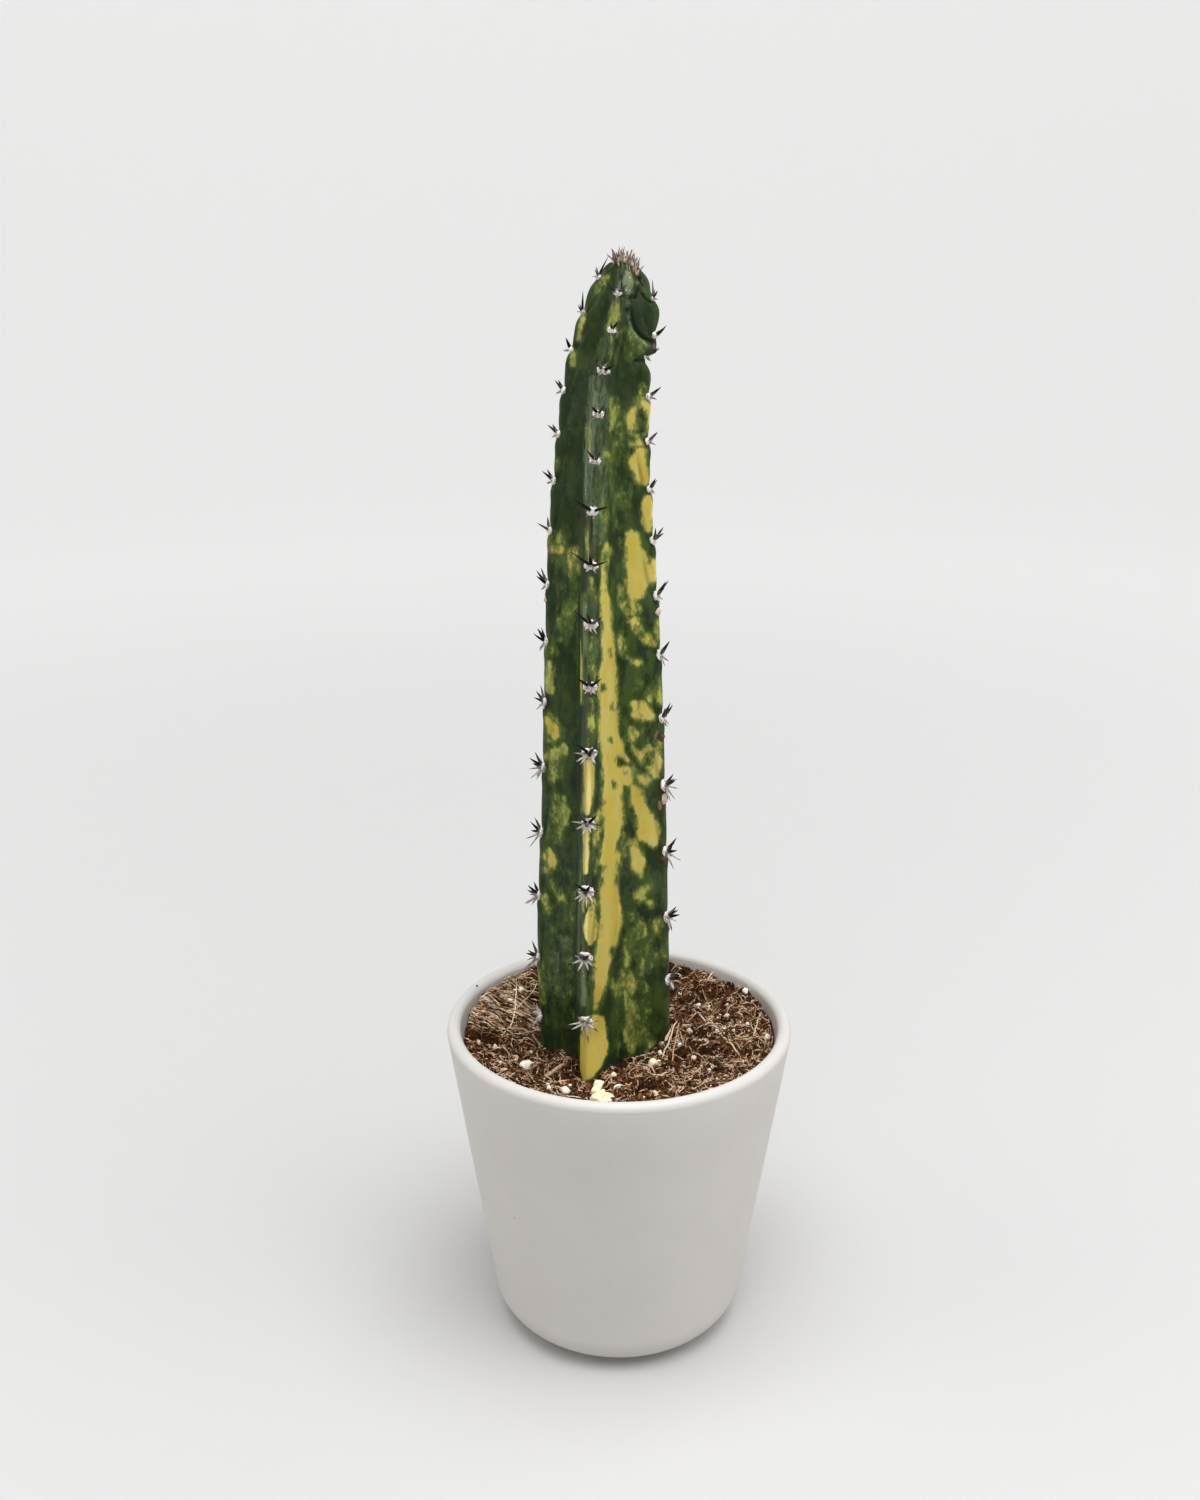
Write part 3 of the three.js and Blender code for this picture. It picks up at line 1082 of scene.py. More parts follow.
@dataclass(frozen=True)
class CeramicFinish:
    """Matte white glaze over an unglazed foot ring, with a few dark iron specks."""

    glaze: Colour = (0.656, 0.624, 0.594, 1)
    shade: Colour = (0.640, 0.608, 0.577, 1)
    speck: Colour = (0.13, 0.11, 0.10, 1)
    bisque: Colour = (0.62, 0.57, 0.50, 1)

    def material(self) -> bpy.types.Material:
        """Builds the material.

        Returns:
            The material.
        """
        material, wiring, shader = new_material("matte_white_ceramic")
        cloud = wiring.noise(45.0, 4.0)
        colour = wiring.cover(self.glaze, self.shade, cloud, 0.35, 0.7)
        specks = wiring.group(speckle_group(), "Mask", Scale=140.0, Size=0.045, Share=0.06)
        colour = wiring.blend(wiring.times(specks, 0.8), colour, self.speck)
        height = wiring.add("SeparateXYZ", 2, Vector=wiring.add("TexCoord", "Object"))
        foot = wiring.math("LESS_THAN", height, 0.0012)
        colour = wiring.blend(foot, colour, self.bisque)
        grain = wiring.noise(900.0, 3.0)
        roughness = wiring.math("MULTIPLY_ADD", grain, 0.16, 0.42)
        relief = wiring.math("MULTIPLY_ADD", wiring.noise(160.0, 2.0), 2.0, grain)
        finish_surface(wiring, shader, colour, roughness, relief, 0.16, 0.0002)
        return material


@dataclass(frozen=True)
class SkinFinish:
    """Green skin under a waxen coat, with yellow and lime areas without green, pale waxen patches with
    painted highlights, cork and fine pits.
    """

    green: Colour = (0.020, 0.038, 0.009, 1)
    blue_green: Colour = (0.019, 0.034, 0.015, 1)
    deep: Colour = (0.007, 0.016, 0.004, 1)
    yellow: Colour = (0.555, 0.435, 0.072, 1)
    straw: Colour = (0.590, 0.490, 0.125, 1)
    ochre: Colour = (0.50, 0.33, 0.045, 1)
    cream: Colour = (0.87, 0.74, 0.26, 1)
    sunlit: Colour = (0.82, 0.66, 0.14, 1)
    lime: Colour = (0.48, 0.49, 0.115, 1)
    leaf: Colour = (0.064, 0.100, 0.021, 1)
    olive: Colour = (0.225, 0.245, 0.058, 1)
    dust_and_crest_highlight: Colour = (0.115, 0.135, 0.072, 1)
    bloom_and_highlight: Colour = (0.22, 0.28, 0.15, 1)
    fleck: Colour = (0.58, 0.62, 0.48, 1)
    cork: Colour = (0.10, 0.048, 0.026, 1)
    pale_cork: Colour = (0.25, 0.165, 0.105, 1)

    def ground(self, wiring: Wiring, crest: object, mottled: object) -> Socket:
        """Returns the green tissue's colour, with grey green on the crests that is partly dust and partly
        painted highlight.

        Args:
            wiring: The material's wiring.
            crest: How near the surface is to a rib's crest, from 0 to 1.
            mottled: How much paler tissue the face has, from 0 to 1.

        Returns:
            The colour.
        """
        cloud = wiring.noise(70.0, 4.0, squash=0.5)
        colour = wiring.cover(self.green, self.blue_green, cloud, 0.38, 0.64)
        shade = wiring.noise(210.0, 4.0, 0.62, 0.6, (0, 0.4, 0))
        colour = wiring.cover(colour, self.deep, shade, 0.48, 0.68, 0.7)
        leafy = wiring.noise(170.0, 5.0, 0.62, 0.55, (0.3, 0, 0))
        level = wiring.math("MULTIPLY_ADD", mottled, 0.05, leafy)
        share = wiring.times(wiring.step(level, 0.50, 0.66), wiring.math("MULTIPLY_ADD", mottled, 0.4, 0.3))
        colour = wiring.blend(share, colour, self.leaf)
        pale = wiring.noise(260.0, 5.0, 0.66, 0.55, (0.6, 0, 0.2))
        share = wiring.times(wiring.step(pale, 0.60, 0.72), mottled)
        colour = wiring.blend(wiring.times(share, 0.5), colour, self.olive)
        # painted highlight: paler grey green streaks along the crests, partly dust on the skin
        streak = wiring.noise(620.0, 4.0, 0.6, 0.16, (0.2, 0, 0))
        on_crest = wiring.times(wiring.step(crest, 0.62, 0.88), wiring.step(streak, 0.34, 0.62))
        return wiring.blend(wiring.times(on_crest, 0.5), colour, self.dust_and_crest_highlight)

    def pale_tissue(self, wiring: Wiring, crest: object, low: object) -> Socket:
        """Returns the yellow tissue's colour, brighter on crests and low on the stem.

        Args:
            wiring: The material's wiring.
            crest: How near the surface is to a rib's crest, from 0 to 1.
            low: How near it is to the foot, from 0 to 1.

        Returns:
            The colour.
        """
        blotch = wiring.noise(120.0, 5.0, 0.6, 0.4, (0, 0, 0.7))
        colour = wiring.cover(self.yellow, self.straw, blotch, 0.38, 0.62)
        rust = wiring.noise(190.0, 5.0, 0.65, 0.4, (0.4, 0.1, 0))
        colour = wiring.cover(colour, self.ochre, rust, 0.50, 0.70, 0.75)
        colour = wiring.cover(colour, self.cream, crest, 0.80, 0.93)
        # painted light: the yellow tissue is paler and warmer low on the stem, near the foot
        colour = wiring.blend(wiring.times(low, 0.75), colour, self.sunlit)
        vein = wiring.noise(460.0, 5.0, 0.7, 0.3, (0.1, 0.2, 0))
        return wiring.cover(colour, self.lime, vein, 0.54, 0.70, 0.55)

    def variegated(self, wiring: Wiring, ground: object, pale: object, yellow: object,
                   lime: object) -> Socket:
        """Lays the lime and the yellow areas over the ground, each through softer tones at its edge.

        Args:
            wiring: The material's wiring.
            ground: The green tissue's colour.
            pale: The yellow tissue's colour.
            yellow: Depth inside the yellow areas.
            lime: Depth inside the lime areas.

        Returns:
            The colour.
        """
        depth = feather_group()
        tone = wiring.noise(330.0, 5.0, 0.7, 0.4, (0.7, 0, 0))
        colour = ground
        level = wiring.group(depth, "Value", Depth=lime, Waver=6.5, Grain=2.6, Seed=3.0)
        colour = wiring.cover(colour, self.leaf, level, -1.5, -0.2, 0.8)
        paler = wiring.cover(self.olive, self.lime, tone, 0.40, 0.62)
        colour = wiring.cover(colour, paler, level, -0.4, 1.2, 0.95)
        level = wiring.group(depth, "Value", Depth=yellow, Waver=5.5, Grain=2.0, Seed=9.0)
        colour = wiring.cover(colour, self.leaf, level, -1.5, -0.4, 0.85)
        colour = wiring.cover(colour, self.olive, level, -0.7, 0.45)
        return wiring.cover(colour, pale, level, 0.0, 0.95)

    def material(self) -> bpy.types.Material:
        """Builds the material.

        Returns:
            The material.
        """
        material, wiring, shader = new_material("variegated_skin")
        yellow, lime, bloom_and_highlight, cork = wiring.painted("tissue")
        crest, groove_shade, rises_with_height, mottled = wiring.painted("form")
        depth = feather_group()
        pale_crest = wiring.times(crest, wiring.step(rises_with_height, 0.41, 0.62))
        pale = self.pale_tissue(wiring, pale_crest, wiring.step(rises_with_height, 0.50, 0.41))
        colour = self.variegated(wiring, self.ground(wiring, crest, mottled), pale, yellow, lime)
        # painted shade: furrows beside the areoles and creases darkened toward deep green
        colour = wiring.blend(wiring.times(groove_shade, 0.8), colour, self.deep)
        # painted highlight: glints down the front crest take the pale waxen colour
        level = wiring.group(depth, "Value", Depth=bloom_and_highlight, Waver=3.0, Grain=2.0, Seed=17.0)
        coat_and_highlight_mask = wiring.step(level, -0.8, 0.8)
        colour = wiring.blend(wiring.times(coat_and_highlight_mask, 0.7), colour, self.bloom_and_highlight)
        flecks = wiring.group(speckle_group(), "Mask", Scale=900.0, Size=0.26, Share=0.2)
        colour = wiring.blend(wiring.times(wiring.times(flecks, coat_and_highlight_mask), 0.8), colour, self.fleck)
        dust = wiring.noise(90.0, 6.0, 0.7, 0.6, (0.5, 0, 0))
        veil = wiring.times(wiring.step(dust, 0.46, 0.72), rises_with_height)
        colour = wiring.blend(wiring.times(veil, 0.10), colour, self.bloom_and_highlight)
        pits = wiring.group(speckle_group(), "Mask", Scale=800.0, Size=0.15, Share=0.07)
        colour = wiring.blend(wiring.times(pits, 0.35), colour, self.bloom_and_highlight)
        level = wiring.group(depth, "Value", Depth=cork, Waver=1.6, Grain=1.2, Seed=29.0)
        cork_mask = wiring.step(level, -0.3, 0.4)
        scar = wiring.noise(330.0, 5.0, 0.7, 0.4, (0.7, 0, 0))
        cork_colour = wiring.cover(self.cork, self.pale_cork, scar, 0.42, 0.58)
        colour = wiring.blend(wiring.times(cork_mask, 0.9), colour, cork_colour)
        rough = wiring.math("MULTIPLY_ADD", wiring.step(dust, 0.35, 0.65), 0.18, 0.36)
        rough = wiring.math("MULTIPLY_ADD", cork_mask, 0.4, rough)
        fine = wiring.noise(1500.0, 3.0, squash=0.7)
        swell = wiring.noise(420.0, 2.0, squash=0.3)
        scab = wiring.times(cork_mask, wiring.times(scar, 6.0))
        relief = wiring.math("MULTIPLY_ADD", swell, 2.5, wiring.math("ADD", scab, fine))
        finish_surface(wiring, shader, colour, rough, relief, 0.35, 0.00012, Specular_IOR_Level=0.12)
        return material


@dataclass(frozen=True)
class WoolFinish:
    """Felted white wool with a pink cast, painted shade in its hollows, pores and hair roots, and brown on
    old cushions.
    """

    wool: Colour = (0.88, 0.83, 0.80, 1)
    blush: Colour = (0.76, 0.62, 0.58, 1)
    hollow: Colour = (0.12, 0.07, 0.05, 1)
    aged: Colour = (0.36, 0.23, 0.17, 1)
    painted_glow: float = 0.06

    def material(self) -> bpy.types.Material:
        """Builds the material.

        Returns:
            The material.
        """
        material, wiring, shader = new_material("areole_wool")
        age, _, hair, depth = wiring.painted("wool")
        clumps = wiring.noise(900.0, 4.0, 0.6)
        colour = wiring.cover(self.wool, self.blush, clumps, 0.45, 0.7)
        # painted shade: dark brown where the cushion's surface lies low, at the hairs' roots and in the pores
        colour = wiring.cover(colour, self.hollow, depth, 0.30, 0.04, 0.85)
        pores = wiring.group(speckle_group(), "Mask", Scale=1050.0, Size=0.24, Share=0.12)
        body = wiring.math("SUBTRACT", 1.0, hair)
        colour = wiring.blend(wiring.times(wiring.times(pores, body), 0.8), colour, self.hollow)
        worn = wiring.math("ADD", age, wiring.math("MULTIPLY_ADD", clumps, 0.9, -0.45))
        colour = wiring.cover(colour, self.aged, worn, 0.35, 0.8)
        fibres = wiring.noise(3500.0, 3.0, squash=0.5)
        finish_surface(wiring, shader, colour, 0.95, fibres, 0.8, 0.0002, Specular_IOR_Level=0.1)
        # painted light: a faint glow of the wool's own colour stands in for light scattered through it
        node_input(wiring.tree, shader, "Emission Color", colour)
        shader.inputs["Emission Strength"].default_value = self.painted_glow
        return material


@dataclass(frozen=True)
class SpineFinish:
    """Horn: black and glossy on young spines, weathered to grey white with a dark tip."""

    black: Colour = (0.005, 0.004, 0.004, 1)
    brown: Colour = (0.035, 0.020, 0.014, 1)
    grey: Colour = (0.66, 0.60, 0.52, 1)
    tan: Colour = (0.50, 0.36, 0.25, 1)

    def material(self) -> bpy.types.Material:
        """Builds the material.

        Returns:
            The material.
        """
        material, wiring, shader = new_material("spine_horn")
        weather, tan, chance, along = wiring.painted("spine")
        streak = wiring.noise(2600.0, 3.0)
        dark = wiring.cover(self.black, self.brown, streak, 0.5, 0.75)
        pale = wiring.cover(self.grey, self.brown, streak, 0.45, 0.8, 0.6)
        tip = wiring.step(wiring.math("MULTIPLY_ADD", chance, 0.25, along), 0.95, 0.6)
        share = wiring.times(weather, tip)
        colour = wiring.blend(share, dark, pale)
        colour = wiring.blend(wiring.times(tan, wiring.step(along, 1.0, 0.45)), colour, self.tan)
        roughness = wiring.math("MULTIPLY_ADD", weather, 0.3, 0.34)
        finish_surface(wiring, shader, colour, roughness, streak, 0.4, 0.0001, Specular_IOR_Level=0.1)
        return material


@dataclass(frozen=True)
class PeatFinish:
    """Dark moist peat and coir dust, darker where the bed lies low as painted shade, with tan flecks that
    show only on its raised parts as painted highlight.
    """

    dark: Colour = (0.009, 0.004, 0.002, 1)
    brown: Colour = (0.060, 0.023, 0.010, 1)
    tan: Colour = (0.30, 0.150, 0.075, 1)

    def material(self) -> bpy.types.Material:
        """Builds the material.

        Returns:
            The material.
        """
        material, wiring, shader = new_material("peat_bed")
        height = wiring.painted("bed")[0]
        crumbs = wiring.noise(700.0, 5.0, 0.65)
        colour = wiring.cover(self.dark, self.brown, crumbs, 0.38, 0.62)
        # painted highlight: tan flecks of coir dust show only where the bed stands high
        bright = wiring.step(wiring.noise(1300.0, 4.0, 0.7, shift=(0.2, 0, 0)), 0.55, 0.72)
        colour = wiring.blend(wiring.times(bright, wiring.step(height, 0.3, 0.8)), colour, self.tan)
        # painted shade: dark where the bed lies below its even level
        colour = wiring.cover(colour, self.dark, height, 0.42, 0.1)
        finish_surface(wiring, shader, colour, 0.9, crumbs, 1.0, 0.0008, Specular_IOR_Level=0.05)
        return material


@dataclass(frozen=True)
class CoirFinish:
    """Coir, straw and bark, from dark brown to pale tan by each bit's own tone."""

    name: str = "coir_fibre"
    dark: Colour = (0.010, 0.004, 0.002, 1)
    middle: Colour = (0.075, 0.025, 0.009, 1)
    russet: Colour = (0.40, 0.170, 0.070, 1)
    light: Colour = (1.0, 0.80, 0.58, 1)
    orange: Colour = (0.45, 0.20, 0.06, 1)

    def material(self) -> bpy.types.Material:
        """Builds the material.

        Returns:
            The material.
        """
        material, wiring, shader = new_material(self.name)
        tone, warm, _, _ = wiring.painted("bit")
        grain = wiring.noise(1500.0, 3.0)
        level = wiring.math("MULTIPLY_ADD", grain, 0.35, wiring.math("SUBTRACT", tone, 0.17))
        colour = wiring.cover(self.dark, self.middle, level, 0.0, 0.4)
        colour = wiring.cover(colour, self.russet, level, 0.3, 0.68)
        colour = wiring.cover(colour, self.light, level, 0.58, 0.92)
        orange = wiring.blend(0.5, colour, self.orange)
        colour = wiring.blend(warm, colour, orange)
        finish_surface(wiring, shader, colour, 0.8, grain, 0.5, 0.0002, Specular_IOR_Level=0.08)
        return material


@dataclass(frozen=True)
class PerliteFinish:
    """White perlite and pale yellow lumps, pitted all over."""

    white: Colour = (0.95, 0.92, 0.86, 1)
    cream: Colour = (0.96, 0.83, 0.47, 1)
    pink: Colour = (0.66, 0.47, 0.36, 1)
    pit: Colour = (0.40, 0.31, 0.20, 1)
    painted_glow: float = 0.10

    def material(self) -> bpy.types.Material:
        """Builds the material.

        Returns:
            The material.
        """
        material, wiring, shader = new_material("perlite")
        cream, pink, _, depth = wiring.painted("bit")
        colour = wiring.blend(cream, self.white, self.cream)
        colour = wiring.blend(pink, colour, self.pink)
        # painted shade: darker in the pits and in the grains' dents
        pits = wiring.step(wiring.noise(1800.0, 3.0, 0.6), 0.60, 0.70)
        colour = wiring.blend(wiring.times(pits, 0.65), colour, self.pit)
        colour = wiring.cover(colour, self.pit, depth, 0.35, 0.1, 0.5)
        relief = wiring.noise(2200.0, 3.0)
        finish_surface(wiring, shader, colour, 0.85, relief, 0.5, 0.0003)
        # painted light: a faint glow of the grain's own colour stands in for light scattered through it
        node_input(wiring.tree, shader, "Emission Color", colour)
        shader.inputs["Emission Strength"].default_value = self.painted_glow
        return material


# The stem's markings and creases, given where the photograph shows them

# How deep a streak counts as being inside its area, for a full tone or one nearer to green
FULL, SOFT, PALE, OLIVE, LEAF = 3.0, 0.7, 0.45, -0.05, -0.95
# The depth of a place that is far outside every area
OUTSIDE = -9.0


@dataclass(frozen=True)
class Streak:
    """A painted streak: stations of picture x, picture y and half width, all in picture units.

    A crisp streak has a narrow edge, and one that isn't solid has a tone between green and its own.
    """

    tint: Tint
    stations: tuple[Triple, ...]
    crisp: float = 1.0
    solid: float = FULL

    def depth(self, across: Array, down: Array, scale: float) -> Array:
        """Returns how deep inside the streak each picture point lies, in millimetres."""
        inside = path_depth(self.stations, across, down) * scale * self.crisp
        return np.clip(inside, OUTSIDE, self.solid)


@dataclass(frozen=True)
class Crease:
    """A crease or a ridge: stations of picture x and y, its width there, and its height in millimetres."""

    stations: tuple[tuple[float, float], ...]
    width: float
    height: float

    def relief(self, across: Array, down: Array) -> Array:
        """Returns its relief at picture points."""
        gap = -path_depth(tuple((x, y, 0.0) for x, y in self.stations), across, down)
        return self.height * bell(gap, self.width)


@dataclass(frozen=True)
class Bump:
    """A rounded bump: its middle's picture x and y, its y in millimetres, its spreads and its height."""

    across: float
    down: float
    towards: float
    spread: Triple
    height: float

    def relief(self, points: Array) -> Array:
        """Returns its relief at points in millimetres."""
        middle = VIEW.on_plane(self.across, self.down, self.towards)
        return self.height * np.exp(-np.sum(((points - middle) / np.array(self.spread)) ** 2, axis=1))


def path_depth(stations: tuple, across: Array, down: Array) -> Array:
    """Returns the half width of a path less the distance to its line, in picture units.

    Args:
        stations: Picture x, picture y and half width along the path.
        across: Picture x of each place.
        down: Picture y of each place.

    Returns:
        One value for each place.
    """
    best = np.full(len(across), -999.0)
    stations = stations if len(stations) > 1 else stations * 2
    for (x0, y0, w0), (x1, y1, w1) in zip(stations, stations[1:]):
        run, fall = x1 - x0, y1 - y0
        length = max(run * run + fall * fall, 1e-6)
        share = np.clip(((across - x0) * run + (down - y0) * fall) / length, 0, 1)
        gap = np.hypot(across - x0 - share * run, down - y0 - share * fall)
        best = np.maximum(best, mix(w0, w1, share) - gap)
    return best


def streaks(tint: Tint, crisp: float, solid: float, *paths: tuple) -> list[Streak]:
    """Returns streaks of one kind."""
    return [Streak(tint, path, crisp, solid) for path in paths]


@dataclass(frozen=True)
class Markings:
    """All markings on the side that the photograph shows."""

    def stripe(self) -> list[Streak]:
        """Returns the yellow band beside the front crest, from the tip down to the foot.

        Returns:
            The streaks.
        """
        band = (
            (604.5, 596, 4), (606, 610, 6), (607, 625, 5), (608, 640, 6.5), (608, 656, 7), (608, 672, 9),
            (607, 689, 9), (608, 706, 9),
            (608, 724, 9.5), (609, 738, 11), (613, 748, 12), (615, 762, 13), (613, 778, 11), (612, 800, 10),
            (613, 822, 10), (610, 845, 8), (608.5, 862, 8), (608.5, 884, 8), (609.5, 895, 9), (611, 910, 11),
            (611, 922, 11), (609, 936, 10), (604, 950, 9), (601.5, 966, 7.5), (600, 984, 6), (597, 996, 5),
            (594.5, 1007, 3),
        )
        foot = (
            (594, 1028, 13), (594, 1036, 14), (593, 1050, 15), (590, 1061, 13), (586, 1071, 9),
            (582, 1078, 4.5),
        )
        start = ((607, 545, 2), (607, 553, 5), (604.5, 565, 2.6), (604, 582, 2.4), (604.5, 598, 3.6))
        return [
            *streaks(Tint.YELLOW, 1.3, PALE, start),
            *streaks(Tint.YELLOW, 1.3, FULL, band),
            *streaks(Tint.YELLOW, 2.0, FULL, foot),
        ]

    def patches(self) -> list[Streak]:
        """Returns the yellow patches of the right face and of the left rib.

        Returns:
            The streaks.
        """
        return [
            *streaks(
                Tint.YELLOW, 1.2, FULL,
                ((641, 453, 6), (638, 465, 9), (641, 475, 7), (646, 482, 4)),
                ((648, 500, 4), (646, 510, 7), (646, 520, 6), (649, 529, 3)),
                ((633, 536, 6), (634, 550, 8), (638, 564, 13), (640, 577, 15), (637, 588, 11), (633, 596, 6)),
                ((653, 562, 4), (654, 580, 4)),
                ((635, 792, 7), (639, 806, 6), (645, 819, 10), (648, 830, 12), (652, 840, 7)),
                ((636, 853, 7), (638, 862, 8), (641, 876, 3)),
            ),
            *streaks(
                Tint.YELLOW, 1.2, SOFT,
                ((644, 404, 4), (649, 407, 4), (650, 418, 3), (648, 431, 4)),
                ((549, 722, 4), (554, 730, 6), (556, 737, 4)),
                ((634, 621, 4), (638, 630, 6), (644, 638, 5), (654, 643, 3)),
                ((632, 703, 3), (641, 708, 8), (644, 713, 8), (637, 714, 6), (651, 716, 4)),
                ((548, 852, 5), (551, 862, 6), (546, 870, 3)),
            ),
            *streaks(
                Tint.YELLOW, 1.2, PALE,
                ((632, 444, 2.5), (639, 443, 3.5)),
                ((620, 634, 2), (622, 645, 4), (624, 655, 3), (632, 661, 2), (641, 662, 2)),
                ((660, 622, 3), (660, 642, 3)), ((631, 599, 5), (633, 606, 3)),
                ((634, 750, 3.5), (642, 758, 4), (650, 767, 4), (656, 775, 3)),
                ((659, 744, 3.5), (658, 760, 4.5), (656, 773, 4)),
                ((608, 778, 6), (622, 779, 6), (634, 780, 6)), ((637, 779, 4), (646, 781, 5)),
                ((618, 762, 11), (630, 772, 7)), ((635, 409, 3), (632, 416, 4), (631, 428, 3)),
                ((552, 548, 4), (560, 550, 4)), ((657, 922, 3), (656, 930, 2)),
            ),
        ]

    def veils(self) -> list[Streak]:
        """Returns the olive and leaf green tones between yellow and green.

        Returns:
            The streaks.
        """
        return [
            *streaks(
                Tint.YELLOW, 1.0, OLIVE,
                ((641, 406, 8), (638, 430, 9)), ((616, 984, 5), (626, 974, 5), (632, 990, 4)),
                ((638, 1026, 3), (645, 1036, 5), (651, 1045, 3)), ((573, 552, 4), (574, 572, 4)),
                ((622, 590, 3), (623, 604, 4)), ((633, 730, 3), (636, 737, 4)),
                ((620, 838, 5), (619, 858, 4)), ((600, 815, 4), (599, 870, 4)),
                ((632, 843, 3), (634, 850, 3)), ((648, 752, 6), (652, 760, 5)),
                ((592, 656, 2.5), (592, 682, 3)), ((666, 938, 4), (666, 952, 4)),
                ((627, 611, 4), (638, 608, 3)),
            ),
            *streaks(
                Tint.YELLOW, 1.0, LEAF,
                ((642, 684, 9),), ((563, 564, 9), (570, 600, 8), (560, 630, 8)),
                ((638, 728, 11), (634, 745, 9)), ((640, 940, 12), (652, 962, 9)),
                ((634, 996, 14), (634, 1050, 14)), ((588, 600, 5), (589, 650, 5)),
                ((607, 470, 6), (605, 530, 6)), ((624, 340, 9), (634, 352, 8)),
                ((620, 420, 6), (622, 520, 6)), ((577, 880, 4), (577, 960, 4)),
                ((610, 346, 7), (607, 362, 6)),
            ),
        ]

    def crest(self) -> list[Streak]:
        """Returns the yellow lines and lenses of the front crest.

        Returns:
            The streaks.
        """
        return [
            *streaks(
                Tint.YELLOW, 2.4, FULL,
                ((590.5, 911, 5), (590.5, 926, 7.5), (591, 936, 6.5), (590, 943, 2.5)),
                ((583.5, 892, 1.2), (583.5, 912, 1.4)), ((586, 828, 3.5), (586, 850, 3.5), (585, 872, 2.5)),
                ((589, 764, 5.5), (589, 790, 5.5), (587, 811, 4.5)),
                ((580.5, 640, 1.1), (580.5, 662, 2.0), (580.5, 676, 2.6), (580.5, 686, 2.0), (581, 704, 1.0)),
            ),
            *streaks(
                Tint.YELLOW, 2.4, PALE,
                ((587, 528, 1.2), (587, 559, 1.6)), ((591, 900, 4), (592, 912, 5)),
                ((590, 420, 1.1), (590, 456, 1.2)),
            ),
            *streaks(
                Tint.LIME, 1.6, PALE,
                ((591.5, 578, 2), (591.5, 594, 2.4)), ((590, 700, 3), (591, 725, 3.5), (590, 746, 3)),
            ),
        ]

    def lime(self) -> list[Streak]:
        """Returns the areas with little green tissue.

        Returns:
            The streaks.
        """
        return [
            *streaks(
                Tint.LIME, 1.2, FULL,
                ((583, 309, 2), (581, 322, 3), (579, 338, 2)), ((575, 354, 2.6), (574, 364, 2.4)),
                ((617, 305, 4), (615, 314, 6), (611, 326, 5)), ((613, 399, 3), (613, 412, 4), (611, 428, 3)),
                ((549, 664, 4), (550, 676, 5), (549, 690, 4)), ((550, 718, 5), (555, 732, 8), (552, 739, 4)),
                ((562, 749, 5), (554, 754, 6.5), (547, 756, 5)),
                ((628, 1002, 4), (629, 1020, 6), (630, 1036, 5), (631, 1050, 4)),
                ((625, 980, 6), (627, 992, 6)), ((624, 945, 2.5), (628, 955, 3), (626, 966, 3)),
                ((660, 680, 3), (660, 702, 3)), ((659, 922, 4), (655, 931, 4)),
                ((622, 992, 8), (626, 984, 6)),
            ),
            *streaks(
                Tint.LIME, 1.0, PALE,
                ((566, 811, 5), (561, 822, 8), (558, 830, 5)), ((556, 462, 1.8), (557, 468, 1.8)),
                ((608, 452, 3), (610, 460, 3)), ((573, 556, 4), (574, 584, 4)),
                ((571, 607, 5), (562, 622, 5)), ((545, 899, 4), (549, 912, 3)),
                ((552, 884, 3), (560, 898, 3)), ((654, 688, 4), (650, 700, 3)),
                ((648, 888, 2.5), (637, 895, 3.5), (650, 903, 2.5)), ((634, 1006, 6), (636, 1040, 7)),
            ),
            *streaks(
                Tint.LIME, 1.0, OLIVE,
                ((602, 279, 3), (598, 287, 4), (595, 293, 2)), ((643, 392, 4), (643, 386, 3)),
                ((630, 330, 2), (636, 342, 4), (644, 348, 3)), ((593, 640, 2.5), (592, 676, 3)),
                ((630, 940, 7), (640, 930, 6)), ((548, 640, 5), (550, 652, 5)),
                ((558, 800, 6), (556, 836, 8)), ((541, 1000, 4), (541, 960, 3)),
                ((631, 916, 3), (636, 921, 2.5)), ((647, 962, 4), (640, 972, 4)),
                ((555, 540, 8), (560, 556, 8)), ((550, 760, 10), (556, 775, 6)),
            ),
            *streaks(
                Tint.LIME, 1.0, LEAF,
                ((560, 950, 17), (562, 1010, 16)), ((560, 880, 14), (562, 930, 16)),
            ),
        ]

    def bloom_and_highlight(self) -> list[Streak]:
        """Returns pale waxen lines and bulges, and painted highlights down the front crest.

        Returns:
            The streaks.
        """
        return [
            *streaks(
                Tint.BLOOM_AND_HIGHLIGHT, 1.4, 1.2,
                # the tip's bulge and pale lines are waxen; the streaks down the front crest, near picture x
                # 580 to 596, are painted highlights
                ((628, 273, 3), (628, 282, 6), (629, 291, 4)),
                ((638, 283, 1.6), (643, 290, 2.0), (651, 298, 1.6)), ((596, 393, 2.5), (594, 405, 2)),
                ((579, 592, 1.2), (579, 640, 1)), ((587, 424, 1.6), (586, 470, 1.6), (586, 500, 1.6)),
                ((583.5, 966, 2.0), (583.5, 1004, 1.9)),
            ),
            *streaks(
                Tint.BLOOM_AND_HIGHLIGHT, 1.0, 0.0,
                ((627, 298, 1), (628, 316, 1.1), (631, 330, 1.2), (636, 338, 1.4), (644, 343, 1.2)),
                ((595, 380, 4), (592, 410, 5), (590, 445, 3.5), (589, 505, 2.5)),
                # a painted highlight down the front crest
                ((585, 606, 1.4), (585, 656, 1.4)),
            ),
            *streaks(
                Tint.BLOOM_AND_HIGHLIGHT, 1.0, -0.4,
                ((603, 384, 4), (600, 396, 4)), ((602, 380, 5), (600, 440, 6), (600, 540, 5)),
                ((562, 948, 12), (561, 985, 11)),
            ),
        ]

